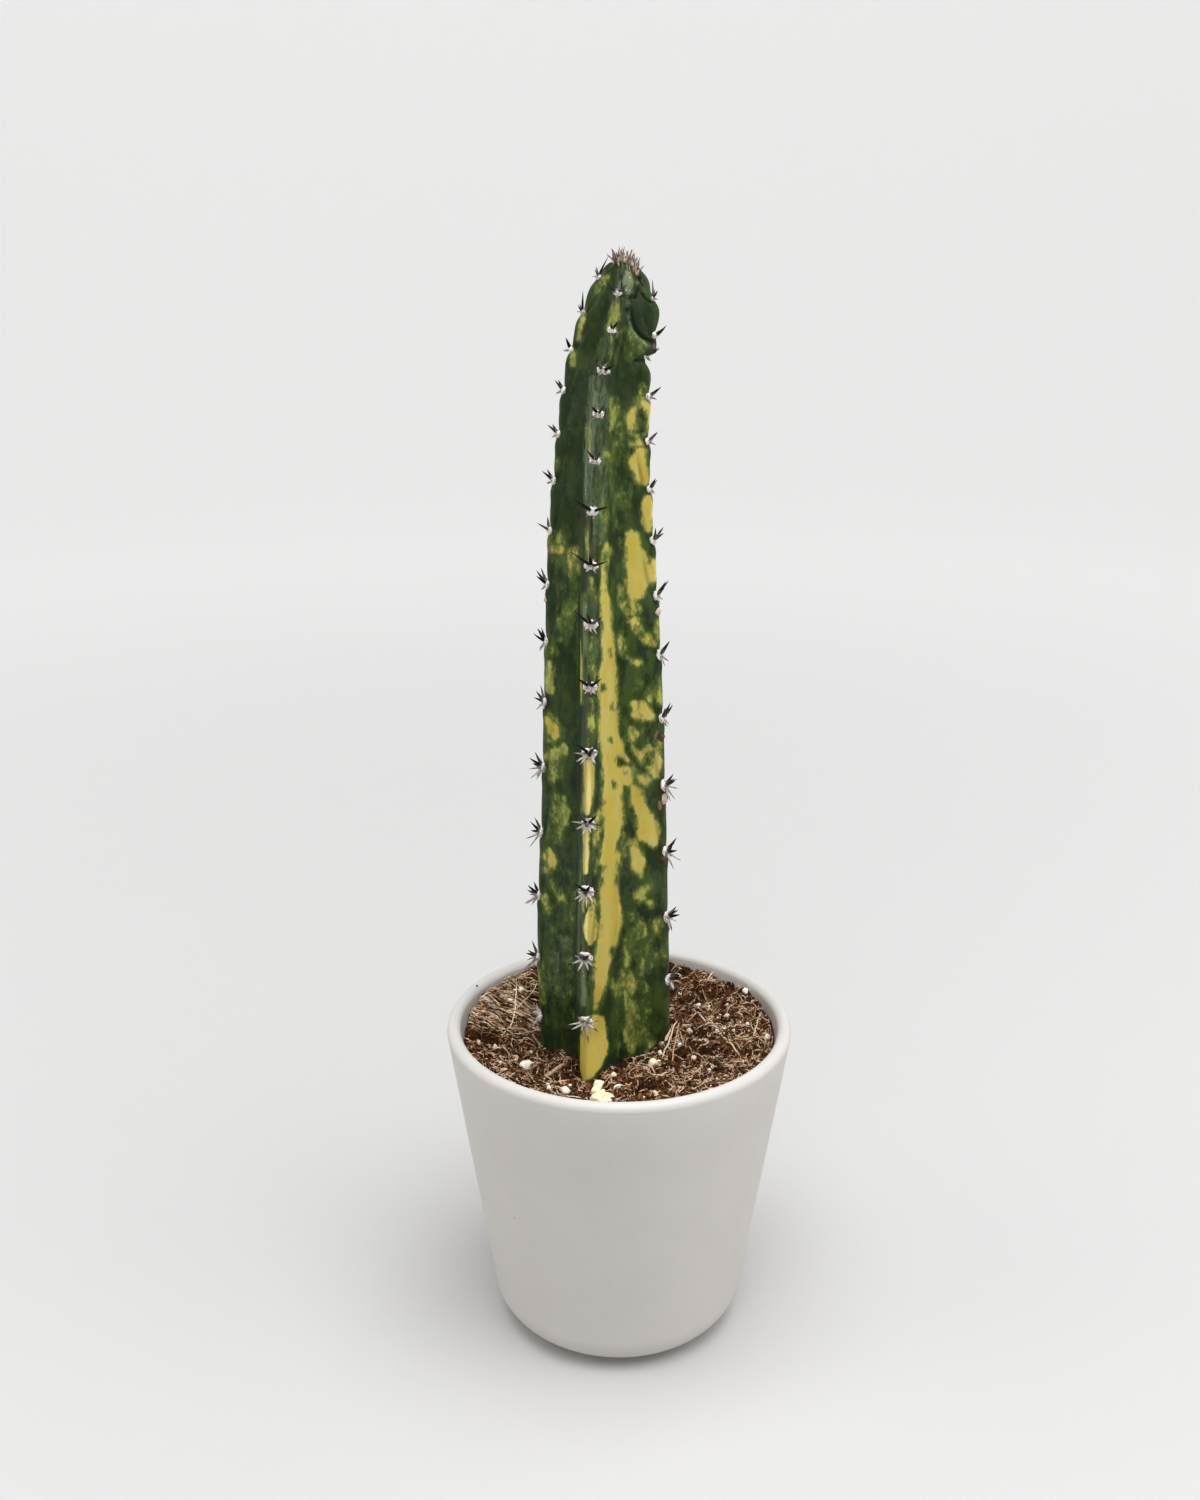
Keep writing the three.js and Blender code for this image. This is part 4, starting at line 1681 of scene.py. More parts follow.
    def cork(self) -> list[Streak]:
        """Returns brown corky marks.

        Returns:
            The streaks.
        """
        return streaks(
            Tint.CORK, 1.6, 3.0,
            ((587, 951, 2.2), (587, 954, 2.2)), ((655, 343, 1.4), (655, 348, 1.4)),
            ((658, 731, 1.5), (656, 737, 2.4), (653, 742, 1.2)), ((660, 803, 2.2), (660, 808, 2.0)),
            ((588, 525, 1.4), (588, 530, 1.2)), ((595, 407, 2.4), (594, 412, 2)),
            ((551, 472, 1.5), (552, 477, 1.6)), ((550, 546, 1.2), (550, 553, 1.2)), ((590, 1022, 2),),
            ((599, 823, 1.6),), ((600, 886, 1.6),), ((614, 303, 2.4),),
        )

    def green(self) -> list[Streak]:
        """Returns green spots that cut into the yellow areas.

        Returns:
            The streaks.
        """
        return streaks(
            Tint.GREEN, 1.0, 3.0,
            ((641, 410, 4), (643, 419, 5)), ((633, 433, 4), (642, 431, 5)),
            ((647, 540, 5), (649, 552, 5), (648, 559, 3)), ((625, 583, 2), (625, 600, 2.5)),
            ((604, 688, 3),), ((646, 598, 3), (650, 606, 4)), ((551, 744, 2.2), (560, 742, 2.2)),
            ((616, 641, 2),), ((611, 650, 1.5), (611, 656, 1.5)), ((611, 703, 2), (611, 709, 1.5)),
            ((611, 741, 2.5),), ((603, 770, 2.5), (604, 776, 2)), ((614, 784, 2),), ((634, 783, 2.5),),
            ((598, 807, 4), (602, 803, 3)), ((600, 833, 3), (601, 837, 2.5)),
            ((600, 868, 4), (603, 866, 2.5)), ((622, 853, 3.5), (622, 868, 3.5)),
            ((628, 790, 3), (628, 806, 5), (628, 822, 4)), ((644, 752, 3), (649, 762, 3)),
            ((600, 880, 3.5), (600, 884, 2.5)), ((622, 762, 4), (630, 765, 4)),
            ((612, 950, 2), (617, 962, 5), (616, 980, 4)), ((622, 984, 1.5), (621, 998, 2)),
            ((634, 640, 2), (628, 630, 3)), ((572, 1012, 5), (571, 1082, 5)),
            ((596, 925, 1.4), (596, 905, 2)),
        )

    def all(self) -> list[Streak]:
        """Returns every streak."""
        return [*self.stripe(), *self.patches(), *self.veils(), *self.crest(), *self.lime(), *self.bloom_and_highlight(),
                *self.cork(), *self.green()]

    def creases(self) -> list[Crease]:
        """Returns the creases and ridges of the tip and of the fold over the pinch.

        Returns:
            The creases.
        """
        return [
            # both sides of the pale bulge at the tip
            Crease(((622, 298), (620, 286), (619, 274), (620, 265)), 1.7, -1.3),
            Crease(((635, 298), (639, 288), (638, 276), (635, 268)), 1.4, -1.0),
            Crease(((624, 296), (629, 299), (634, 297)), 1.6, -0.6),
            # the furrow from the bulge to the right rib
            Crease(((640, 284), (644, 290), (651, 297)), 1.5, 0.8),
            Crease(((640, 289), (644, 296), (650, 302)), 1.7, -0.7),
            Crease(((627, 300), (628, 312), (631, 324)), 2.4, -0.4),
            # the fold
            Crease(((629, 308), (631, 320), (636, 330), (642, 337), (648, 341), (654, 343)), 1.8, -1.2),
            Crease(((628, 318), (631, 331), (637, 339), (645, 344), (651, 348)), 2.6, 0.5),
            Crease(((634, 362), (640, 359), (646, 360), (652, 361)), 1.9, -1.2),
            # the upper tubercles of the front rib
            Crease(((608, 303), (605, 316), (606, 329)), 1.7, -0.5),
            Crease(((622, 302), (622, 316), (618, 330)), 1.7, -0.5),
            Crease(((600, 340), (597, 356), (597, 367)), 1.6, -0.4),
            Crease(((617, 342), (616, 356), (611, 368)), 1.6, -0.4),
        ]

    def bumps(self) -> list[Bump]:
        """Returns the bulges of the tip and of the fold.

        Returns:
            The bulges.
        """
        return [
            Bump(628.5, 282, -3.0, (2.7, 3.0, 3.9), 1.9),
            Bump(612, 270, -1.5, (2.6, 3.0, 2.4), 0.8),
            Bump(645, 281, -1.5, (2.6, 3.0, 3.0), 0.8),
            Bump(648, 349, -2.3, (2.6, 3.0, 2.0), 1.5),
        ]


@dataclass
class StemSkin:
    """The ribbed skin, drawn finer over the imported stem's form and painted."""

    columns: int = 256
    foot_rows: tuple[tuple[float, float], ...] = ((74, 0.7), (76.5, 0.9), (83, 1), (90, 1))
    shaft_start: float = 97.0
    shaft_rows: int = 262
    dome_rows: int = 84
    picture_scale: float = 0.315
    wax_heights: tuple[float, float] = (110.0, 160.0)
    wave: Triple = (5.0, 5.0, 11.0)
    wave_height: float = 0.10
    line_start: float = 1.5
    line_spread: float = 3.1
    line_width: float = 0.65
    line_depth: float = 0.30
    swell_width: float = 2.6
    swell_height: float = 0.25
    full_at_radius: float = 9.0
    waver_wave: Triple = (3.2, 3.2, 7.0)
    waver: float = 0.45
    sight_cell: float = 3.0
    sight_grid: tuple[int, int] = (500, 600)
    sight_depth: tuple[float, float] = (3.0, 6.0)
    patch_seed: int = 23
    hidden_patches: int = 95
    patch_heights: tuple[float, float] = (104.0, 362.0)
    patch_lengths: tuple[float, float] = (3.0, 22.0)
    patch_widths: tuple[float, float] = (0.9, 4.6)
    patch_lean: float = 0.12
    yellow_share: float = 0.5
    solid_share: float = 0.6
    faint: float = 0.25
    # how much paler tissue the faces have: place round the stem, and share
    mottle_turns: tuple[float, ...] = (0.0, 0.08, 0.9, 1.1, 1.6, 2.4, 2.9, 3.1, 3.9, 4.0)
    mottle_shares: tuple[float, ...] = (0.25, 0.9, 0.9, 0.5, 0.3, 0.8, 0.6, 0.45, 0.15, 0.25)

    def heights(self) -> tuple[Array, Array]:
        """Returns the height and the share of full width of each ring, from the foot up.

        Returns:
            One height and one share for each ring.
        """
        foot = list(self.foot_rows)
        shaft = np.linspace(self.shaft_start, FORM.dome_start, self.shaft_rows, endpoint=False)
        quarter = np.linspace(0, 1, self.dome_rows, endpoint=False) * math.pi / 2
        dome = FORM.dome_start + (FORM.top - FORM.dome_start) * np.sin(quarter) ** (2 / FORM.dome_fullness)
        rings = np.array([z for z, _ in foot] + list(shaft) + list(dome))
        shares = np.array([share for _, share in foot] + [1.0] * (len(shaft) + len(dome)))
        return rings, shares

    def build(self) -> Piece:
        """Wraps, roughens and paints the skin.

        Returns:
            The piece.
        """
        rings, shares = self.heights()
        ball, turn, row = wrapped(self.columns, len(rings))
        turn = turn * FORM.ribs
        inner = np.clip(row - 1, 0, len(rings) - 1)
        z = rings[inner]
        points = FORM.skin(turn, z)
        lean = FORM.at(z)[0]
        axis = np.stack([lean, np.zeros_like(z), z], axis=-1)
        points = axis + (points - axis) * shares[inner, None] ** np.array([1, 1, 0])
        points[row == 0] = (lean[row == 0][0], 0, FORM.foot)
        points[row == len(rings) + 1] = (0, 0, FORM.top)
        ball.points = points
        outward = self.normals(ball)
        relief, groove_shade = self.fine_relief(turn, z, points, outward)
        ball.points = points + outward * relief[:, None]
        outward = self.normals(ball)
        tissue = self.paint(ball.points, outward, turn, z)
        crest = 1 - np.abs(2 * (turn - np.floor(turn + 0.5)))
        # rises with height; it sets the waxen veil and the yellow's painted light near the foot
        rises_with_height = smoothstep(z, *self.wax_heights) * 0.6 + 0.4
        form = np.stack([crest, groove_shade, rises_with_height, self.mottled(turn, z)], axis=-1)
        ball.values = {"tissue": tissue, "form": form}
        return make_piece("stem_skin", ball, SkinFinish().material())

    def mottled(self, turn: Array, z: Array) -> Array:
        """Returns how much paler tissue each place has: most right of the front crest, low down."""
        face = np.interp(turn % FORM.ribs, self.mottle_turns, self.mottle_shares)
        return face * mix(1.0, 0.35, smoothstep(z, 280, 330))

    def normals(self, shape: Shape) -> Array:
        """Returns the outward direction at each point.

        Args:
            shape: The shape.

        Returns:
            One direction for each point.
        """
        starts = np.cumsum(shape.sizes) - shape.sizes
        first = shape.points[shape.corners[starts]]
        second = shape.points[shape.corners[starts + 1]]
        third = shape.points[shape.corners[starts + 2]]
        facing = np.cross(second - first, third - first)
        total = np.zeros_like(shape.points)
        owner = np.repeat(np.arange(len(shape.sizes)), shape.sizes)
        np.add.at(total, shape.corners, facing[owner])
        return unit(total)

    def seen(self, points: Array, outward: Array) -> Array:
        """Returns how plainly the photograph shows each point, from 0 to 1.

        Args:
            points: Points in millimetres.
            outward: The outward direction at each point.

        Returns:
            One value for each point.
        """
        across, down, depth = VIEW.seen_at(points)
        facing = -np.einsum("ij,ij->i", outward, unit(points - np.array(VIEW.place)))
        cell = tuple(np.floor(place / self.sight_cell).astype(int) for place in (across, down))
        nearest = np.full(self.sight_grid, np.inf)
        np.minimum.at(nearest, cell, depth)
        clear = 1 - smoothstep(depth - nearest[cell], *self.sight_depth)
        return smoothstep(facing, 0.0, 0.12) * clear

    def fine_relief(self, turn: Array, z: Array, points: Array,
                    outward: Array) -> tuple[Array, Array]:
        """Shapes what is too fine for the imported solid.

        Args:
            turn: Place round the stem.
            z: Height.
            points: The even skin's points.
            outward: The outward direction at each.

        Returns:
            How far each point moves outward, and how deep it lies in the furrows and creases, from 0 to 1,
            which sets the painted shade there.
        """
        nearest = np.floor(turn + 0.5)
        rib = nearest.astype(int) % FORM.ribs
        radius = FORM.at(z)[1]
        aside = np.abs(FORM.girth(turn) - FORM.girth(nearest)) * radius
        young = np.minimum(1, radius / self.full_at_radius)
        relief = self.wave_height * layered_noise(points, self.wave, 3, 3)
        groove_shade = np.zeros_like(z)
        for index in range(FORM.ribs):
            heights = FORM.areole_heights(index)
            for high, low in zip([FORM.top - 1, *heights], heights):
                here = (rib == index) & (z <= high) & (z > low)
                share = (z[here] - low) / max(high - low, 1)
                middle = self.line_start + self.line_spread * np.sqrt(np.clip(share, 0, 1))
                line = bell(aside[here] - middle, self.line_width) * (1 - smoothstep(share, 0.45, 0.9))
                line *= young[here]
                # painted shade in the furrows that run to each areole
                groove_shade[here] = 0.5 * line
                relief[here] -= self.line_depth * line
                swell = bell(aside[here], self.swell_width) * np.sin(np.pi * np.clip(share, 0, 1)) ** 0.7
                relief[here] += self.swell_height * swell * young[here]
        across, down, _ = VIEW.seen_at(points)
        shown = self.seen(points, outward)
        markings = Markings()
        for crease in markings.creases():
            line = crease.relief(across, down) * shown
            relief += line
            # painted shade in the creases
            groove_shade = np.maximum(groove_shade, np.clip(-line, 0, 1))
        for bump in markings.bumps():
            relief += bump.relief(points)
        return relief, groove_shade

    def paint(self, points: Array, outward: Array, turn: Array, z: Array) -> Array:
        """Paints the markings.

        Args:
            points: The skin's points.
            outward: The outward direction at each.
            turn: Place round the stem.
            z: Height.

        Returns:
            Depth inside the yellow areas, the lime areas, the pale waxen areas with their painted highlights
            and the cork areas at each point, in millimetres.
        """
        across, down, _ = VIEW.seen_at(points)
        seen = self.seen(points, outward)
        fields = [np.full(len(points), OUTSIDE) for _ in Tint]
        for streak in Markings().all():
            index = streak.tint.value
            fields[index] = np.maximum(fields[index], streak.depth(across, down, self.picture_scale))
        hidden = self.hidden_fields(turn, z)
        waver = self.waver * layered_noise(points, self.waver_wave, 3, 61)
        result = [mix(hidden[tint], fields[tint], seen) for tint in range(Tint.GREEN.value)]
        cut = mix(np.full(len(points), OUTSIDE), fields[Tint.GREEN.value], seen)
        for tint in (Tint.YELLOW.value, Tint.LIME.value):
            result[tint] = np.minimum(result[tint] + waver, -cut + 0.2)
        return np.stack(result, axis=-1)

    def hidden_fields(self, turn: Array, z: Array) -> list[Array]:
        """Returns the same fields for the sides that the photograph hides, by a seeded rule.

        Args:
            turn: Places round the stem, one unit for each rib.
            z: Heights.

        Returns:
            One field for each kind of area.
        """
        rng = np.random.default_rng(self.patch_seed)
        radius = FORM.at(np.clip(z, FORM.foot, FORM.top - 0.5))[1]
        place = FORM.girth(turn)
        full = FORM.girth(np.array([float(FORM.ribs)]))[0]
        fields = [np.full(len(z), OUTSIDE) for _ in range(Tint.GREEN.value)]
        for _ in range(self.hidden_patches):
            middle = rng.uniform(0, full)
            height = rng.uniform(*self.patch_heights)
            long = rng.uniform(*self.patch_lengths)
            wide = rng.uniform(*self.patch_widths)
            lean = rng.uniform(-self.patch_lean, self.patch_lean)
            index = (Tint.YELLOW if rng.random() < self.yellow_share else Tint.LIME).value
            solid = FULL if rng.random() < self.solid_share else self.faint
            gap = (place - middle + full / 2) % full - full / 2
            gap = gap * radius - lean * (z - height)
            inside = (1 - np.hypot(gap / wide, (z - height) / long)) * wide
            fields[index] = np.maximum(fields[index], np.minimum(inside, solid))
        return fields


@dataclass(frozen=True)
class SpineKind:
    """One spine of a set: its directions, sizes and weathering, and the ages of areole that bear it."""

    outward: float
    upward: float
    aside: float
    length: float
    base: float
    weather: float
    from_age: float = 0.0
    to_age: float = 1.1


@dataclass
class Areoles:
    """Wool cushions with their spines, along every crest and at the crown.

    Each crown seat is x, y and size, and each bract a rib, height, shift to the side, size and tone.
    """

    across: tuple[float, float] = (1.75, 2.35)
    tall: tuple[float, float] = (1.15, 1.95)
    thick: float = 0.8
    sunk: float = 0.15
    young_from: float = 346.0
    young_size: float = 0.74
    grown_below_tip: float = 210.0
    grown_ages: tuple[float, float] = (0.15, 0.85)
    lump_height: float = 0.26
    tuft_height: float = 0.13
    hair_lengths: tuple[float, float] = (0.4, 1.0)
    hair_slants: tuple[float, float] = (0.1, 1.35)
    hair_bend: float = 0.45
    spine_jitter: float = 0.13
    spine_lengths: tuple[float, float] = (0.78, 1.2)
    spine_widths: tuple[float, float] = (0.85, 1.12)
    crown_reach: float = 4.0
    crown_lengths: tuple[float, float] = (1.8, 4.6)
    crown_widths: tuple[float, float] = (0.24, 0.44)
    crown_depth: float = 9.0
    dome_fit: float = 1.25
    worn_below: tuple[float, float] = (121.0, 131.0)
    hairs: int = 46
    hair_widths: tuple[float, float] = (0.055, 0.02)
    seed: int = 77
    rings: int = 8
    crown_middle: tuple[float, float] = (1.2, -0.6)
    crown_seats: tuple[Triple, ...] = (
        (-2.0, -0.6, 0.6), (0.4, -1.4, 0.75), (2.4, -0.8, 0.8), (3.9, 0.2, 0.55), (1.8, 2.6, 0.8),
        (-1.5, 2.6, 0.7),
    )
    crown_spines: int = 84
    bract_brown: Colour = (0.095, 0.058, 0.040, 1)
    bract_tan: Colour = (0.27, 0.18, 0.13, 1)
    bract_pale: Colour = (0.82, 0.68, 0.57, 1)
    bracts: tuple[tuple[int, float, float, float, float], ...] = (
        (1, 260.5, -0.6, 1.25, 0.98), (1, 219.0, -1.2, 1.25, 0.30), (1, 198.0, -0.8, 1.5, 0.85),
        (1, 177.0, -1.4, 1.6, 0.40), (3, 263.0, 0.5, 0.8, 0.80), (2, 240.0, 0.3, 1.2, 0.60),
        (2, 176.0, -0.4, 1.4, 0.40),
    )
    kinds: tuple[SpineKind, ...] = (
        # the youngest: one long upright spine and finer ones round it
        SpineKind(0.30, 1.0, 0.05, 7.2, 0.52, 0.0, 0.0, 0.085),
        SpineKind(0.50, 0.45, -1.0, 5.2, 0.42, 0.0, 0.0, 0.085),
        SpineKind(0.50, 0.45, 1.0, 5.2, 0.42, 0.0, 0.0, 0.085),
        SpineKind(0.80, 0.55, 0.4, 3.4, 0.34, 0.2, 0.0, 0.085),
        SpineKind(0.60, -0.4, -0.5, 2.6, 0.28, 0.4, 0.0, 0.085),
        # young: two short horns
        SpineKind(0.78, 0.66, -0.58, 3.5, 0.52, 0.0, 0.085, 0.34),
        SpineKind(0.78, 0.66, 0.58, 3.5, 0.52, 0.0, 0.085, 0.34),
        SpineKind(0.60, -0.5, -0.6, 2.0, 0.30, 0.4, 0.12, 0.34),
        SpineKind(0.60, -0.5, 0.6, 2.0, 0.30, 0.4, 0.12, 0.34),
        # grown: two long horns to the sides, one between them and grey ones below
        SpineKind(0.55, 0.55, -0.92, 6.0, 0.54, 0.0, 0.34, 0.70),
        SpineKind(0.55, 0.55, 0.92, 6.0, 0.54, 0.0, 0.34, 0.70),
        SpineKind(0.85, 0.85, -0.05, 4.6, 0.66, 0.0, 0.40, 0.70),
        SpineKind(0.45, -0.70, -0.66, 3.4, 0.34, 0.8, 0.42, 0.70),
        SpineKind(0.45, -0.90, 0.08, 2.9, 0.34, 0.8, 0.50, 0.70),
        SpineKind(0.45, -0.70, 0.66, 3.4, 0.34, 0.8, 0.42, 0.70),
        # old: short black ones in the wool and a ring of grey ones
        SpineKind(0.80, 0.72, -0.66, 4.4, 0.62, 0.0, 0.70, 1.1),
        SpineKind(0.95, 0.05, 0.10, 3.3, 0.66, 0.0, 0.70, 1.1),
        SpineKind(0.80, 0.72, 0.66, 4.4, 0.62, 0.0, 0.70, 1.1),
        SpineKind(0.40, 0.15, -1.0, 5.0, 0.42, 0.5, 0.70, 1.1),
        SpineKind(0.40, 0.15, 1.0, 5.0, 0.42, 0.5, 0.70, 1.1),
        SpineKind(0.46, -0.55, -0.85, 5.2, 0.42, 0.95, 0.70, 1.1),
        SpineKind(0.46, -0.95, -0.30, 4.9, 0.40, 0.95, 0.70, 1.1),
        SpineKind(0.46, -0.95, 0.34, 4.9, 0.40, 0.95, 0.70, 1.1),
        SpineKind(0.46, -0.55, 0.88, 5.2, 0.42, 0.95, 0.70, 1.1),
    )

    def seats(self) -> list[Seat]:
        """Returns each crest areole's point, directions, size and age from 0 to 1.

        Returns:
            The seats.
        """
        found = []
        for rib in range(FORM.ribs):
            for height in FORM.areole_heights(rib):
                size = self.young_size if height > self.young_from else 1.0
                age = float(np.clip((FORM.top - height) / self.grown_below_tip, 0, 1))
                found.append((*FORM.crest_frame(rib, height), size, age))
        return found

    def build(self) -> list[Piece]:
        """Models the cushions, their hairs and the spines.

        Returns:
            The pieces.
        """
        rng = np.random.default_rng(self.seed)
        seats = self.seats()
        woolly = seats + self.crown()
        wool = [self.cushions(woolly, rng), self.fuzz(woolly, rng)]
        pads = make_piece("areole_wool", joined(wool), WoolFinish().material())
        spines = make_piece("areole_spines", self.spines(seats, rng), SpineFinish().material())
        return [pads, spines, self.dry_bracts(rng)]

    def dome_height(self, reach: float) -> float:
        """Returns the tip's height at a distance from the axis.

        Args:
            reach: The distance from the axis.

        Returns:
            The height.
        """
        share = min(reach * self.dome_fit / FORM.stations[-1][2], 1)
        rise = (1 - share**2) ** (1 / FORM.dome_fullness)
        return FORM.dome_start + (FORM.top - FORM.dome_start) * rise

    def crown(self) -> list[Seat]:
        """Returns the seats of the youngest cushions, at the tip.

        Returns:
            The seats.
        """
        found = []
        for x, y, size in self.crown_seats:
            point = np.array([x, y, self.dome_height(math.hypot(x, y)) - 0.1])
            outward = unit(np.array([x, y, self.crown_depth]))
            aside = unit(np.cross(np.array([0.0, 1.0, 0.0]), outward))
            found.append((point, outward, np.cross(outward, aside), aside, size, 0.0))
        return found

    def dry_bracts(self, rng: Random) -> Piece:
        """Sets the dry scales and buds that cling under a few areoles.

        Args:
            rng: Draws the random numbers.

        Returns:
            The piece.
        """
        places, radii, told = [], [], []
        for rib, height, shift, size, tone in self.bracts:
            point, outward, _, aside = FORM.crest_frame(rib, height)
            places.append(point + aside * shift - outward * abs(shift) * 0.45 + outward * 0.2)
            radii.append((size * 0.75, size * 0.75, size * 1.15))
            told.append((tone, 0.15, tone))
        shape = grains(model_grain(4), np.array(places), np.array(radii), 0.42, np.array(told), "bit", rng)
        finish = CoirFinish(
            "dry_bract", middle=self.bract_brown, russet=self.bract_tan, light=self.bract_pale
        )
        return make_piece("dry_bracts", shape, finish.material())

    def cushions(self, seats: list[Seat], rng: Random) -> Shape:
        """Models one felted cushion and sets a lumpy copy on every seat.

        Args:
            seats: Where the cushions sit.
            rng: Draws the random numbers.

        Returns:
            All cushions as one shape.
        """
        template = model_grain(4)
        sides = template.points
        copies, told = [], []
        for point, outward, upward, aside, size, age in seats:
            shift = rng.uniform(0, 90, 3)
            lump = layered_noise(sides * 2.0 + shift, 0.9, 3, 11)
            tuft = layered_noise(sides * 2.0 + shift, 0.32, 2, 19)
            reach = 1 + self.lump_height * lump + self.tuft_height * tuft
            body = sides * reach[:, None] * size
            grown = smoothstep(np.array(age), *self.grown_ages)
            spread = mix(*self.across, grown) * (1 + rng.uniform(-0.12, 0.10))
            rise = mix(*self.tall, grown) * (1 + rng.uniform(-0.1, 0.1))
            place = (
                point - outward * self.sunk * size
                + body[:, 0:1] * spread * aside
                + body[:, 1:2] * rise * upward
                + body[:, 2:3] * self.thick * outward
            )
            old = rng.uniform(0.0, 0.34) + (0.2 if age < 0.08 else 0)
            # how far out each point of the cushion stands, which sets the wool's painted shade where it lies
            # low
            depth = np.clip(0.5 - 0.16 * grown + 0.75 * lump + 0.45 * tuft, 0, 1)
            copies.append(place)
            told.append(np.stack([np.full(len(sides), old), depth, np.zeros(len(sides)), depth], axis=-1))
        return repeated(template, np.array(copies), {"wool": np.array(told)})

    def fuzz(self, seats: list[Seat], rng: Random) -> Shape:
        """Lays short curling hairs round every cushion.

        Args:
            seats: Where the cushions sit.
            rng: Draws the random numbers.

        Returns:
            All hairs as one shape.
        """
        template = model_strand(3, 4)
        paths, widths, told = [], [], []
        for point, outward, upward, aside, size, age in seats:
            for _ in range(self.hairs):
                angle = rng.uniform(0, FULL_TURN)
                slant = rng.uniform(*self.hair_slants)
                flat = math.sin(slant)
                direction = (
                    aside * flat * math.cos(angle)
                    + upward * flat * math.sin(angle)
                    + outward * math.cos(slant)
                )
                root = point + size * (
                    aside * flat * math.cos(angle) * mix(*self.across, age) * 0.9
                    + upward * flat * math.sin(angle) * mix(*self.tall, age) * 0.9
                    + outward * math.cos(slant) * self.thick * 0.85
                )
                length = rng.uniform(*self.hair_lengths) * size
                bend = rng.normal(0, self.hair_bend, 3)
                share = np.linspace(0, 1, 4)[:, None]
                paths.append(root + length * (direction * share + bend * share**2))
                widths.append(np.linspace(*self.hair_widths, 4))
                told.append((rng.uniform(0, 0.3), 0.7, 1.0))
        return laid_along(template, np.array(paths), np.array(widths), np.array(told), "wool")

    def spines(self, seats: list[Seat], rng: Random) -> Shape:
        """Lays a set of curved spines on every seat and a tuft at the crown.

        Args:
            seats: Where the cushions sit.
            rng: Draws the random numbers.

        Returns:
            All spines as one shape.
        """
        template = model_strand(8, self.rings)
        paths, widths, told = [], [], []
        share = np.linspace(0, 1, self.rings)[:, None]
        taper = np.append((1 - share[:-1, 0] ** 1.5) * 0.94 + 0.06, 0.04)
        for point, outward, upward, aside, size, age in seats:
            for kind in self.kinds:
                if not kind.from_age <= age < kind.to_age:
                    continue
                jitter = rng.normal(0, self.spine_jitter, 3)
                direction = unit(
                    outward * (kind.outward + jitter[0])
                    + upward * (kind.upward + jitter[1])
                    + aside * (kind.aside + jitter[2])
                )
                length = kind.length * rng.uniform(*self.spine_lengths) * size
                base = kind.base * rng.uniform(*self.spine_widths) * size
                curve = upward * rng.uniform(-0.2, 0.5) + rng.normal(0, 0.18, 3)
                root = point + outward * self.thick * 0.25 * size + direction * 0.9 * size
                paths.append(root + length * (direction * share + curve * 0.22 * share**2))
                widths.append(base * taper)
                low, high = self.worn_below
                worn = 0.9 * float(smoothstep(np.array(-point[2]), -high, -low))
                weather = np.clip(kind.weather + worn + rng.normal(0, 0.12), 0, 1)
                told.append((weather, 0.0, rng.random()))
        for path, width, tone in self.crown_tuft(share, taper, rng):
            paths.append(path)
            widths.append(width)
            told.append(tone)
        return laid_along(template, np.array(paths), np.array(widths), np.array(told), "spine")

    def crown_tuft(self, share: Array, taper: Array, rng: Random) -> list:
        """Returns the young tan and brown spines that stand at the tip.

        Args:
            share: Each ring's share of the way along a spine.
            taper: The width at each ring.
            rng: Draws the random numbers.

        Returns:
            Path, widths and tone of each spine.
        """
        tuft = []
        for _ in range(self.crown_spines):
            angle = rng.uniform(0, FULL_TURN)
            reach = self.crown_reach * math.sqrt(rng.random())
            x = self.crown_middle[0] + reach * math.cos(angle)
            y = self.crown_middle[1] + 0.75 * reach * math.sin(angle)
            root = np.array([x, y, self.dome_height(math.hypot(x, y)) - 0.4])
            side = np.array([x, y, 0.0]) - np.array([*self.crown_middle, 0.0])
            direction = unit(np.array([0, 0, 1.0]) + side * 0.13 + rng.normal(0, 0.22, 3))
            length = rng.uniform(*self.crown_lengths)
            curve = rng.normal(0, 0.3, 3)
            path = root + length * (direction * share + curve * 0.25 * share**2)
            tone = (rng.uniform(0, 0.5), rng.uniform(0.0, 1.0), rng.random())
            tuft.append((path, rng.uniform(*self.crown_widths) * taper, tone))
        return tuft


# The potting mix


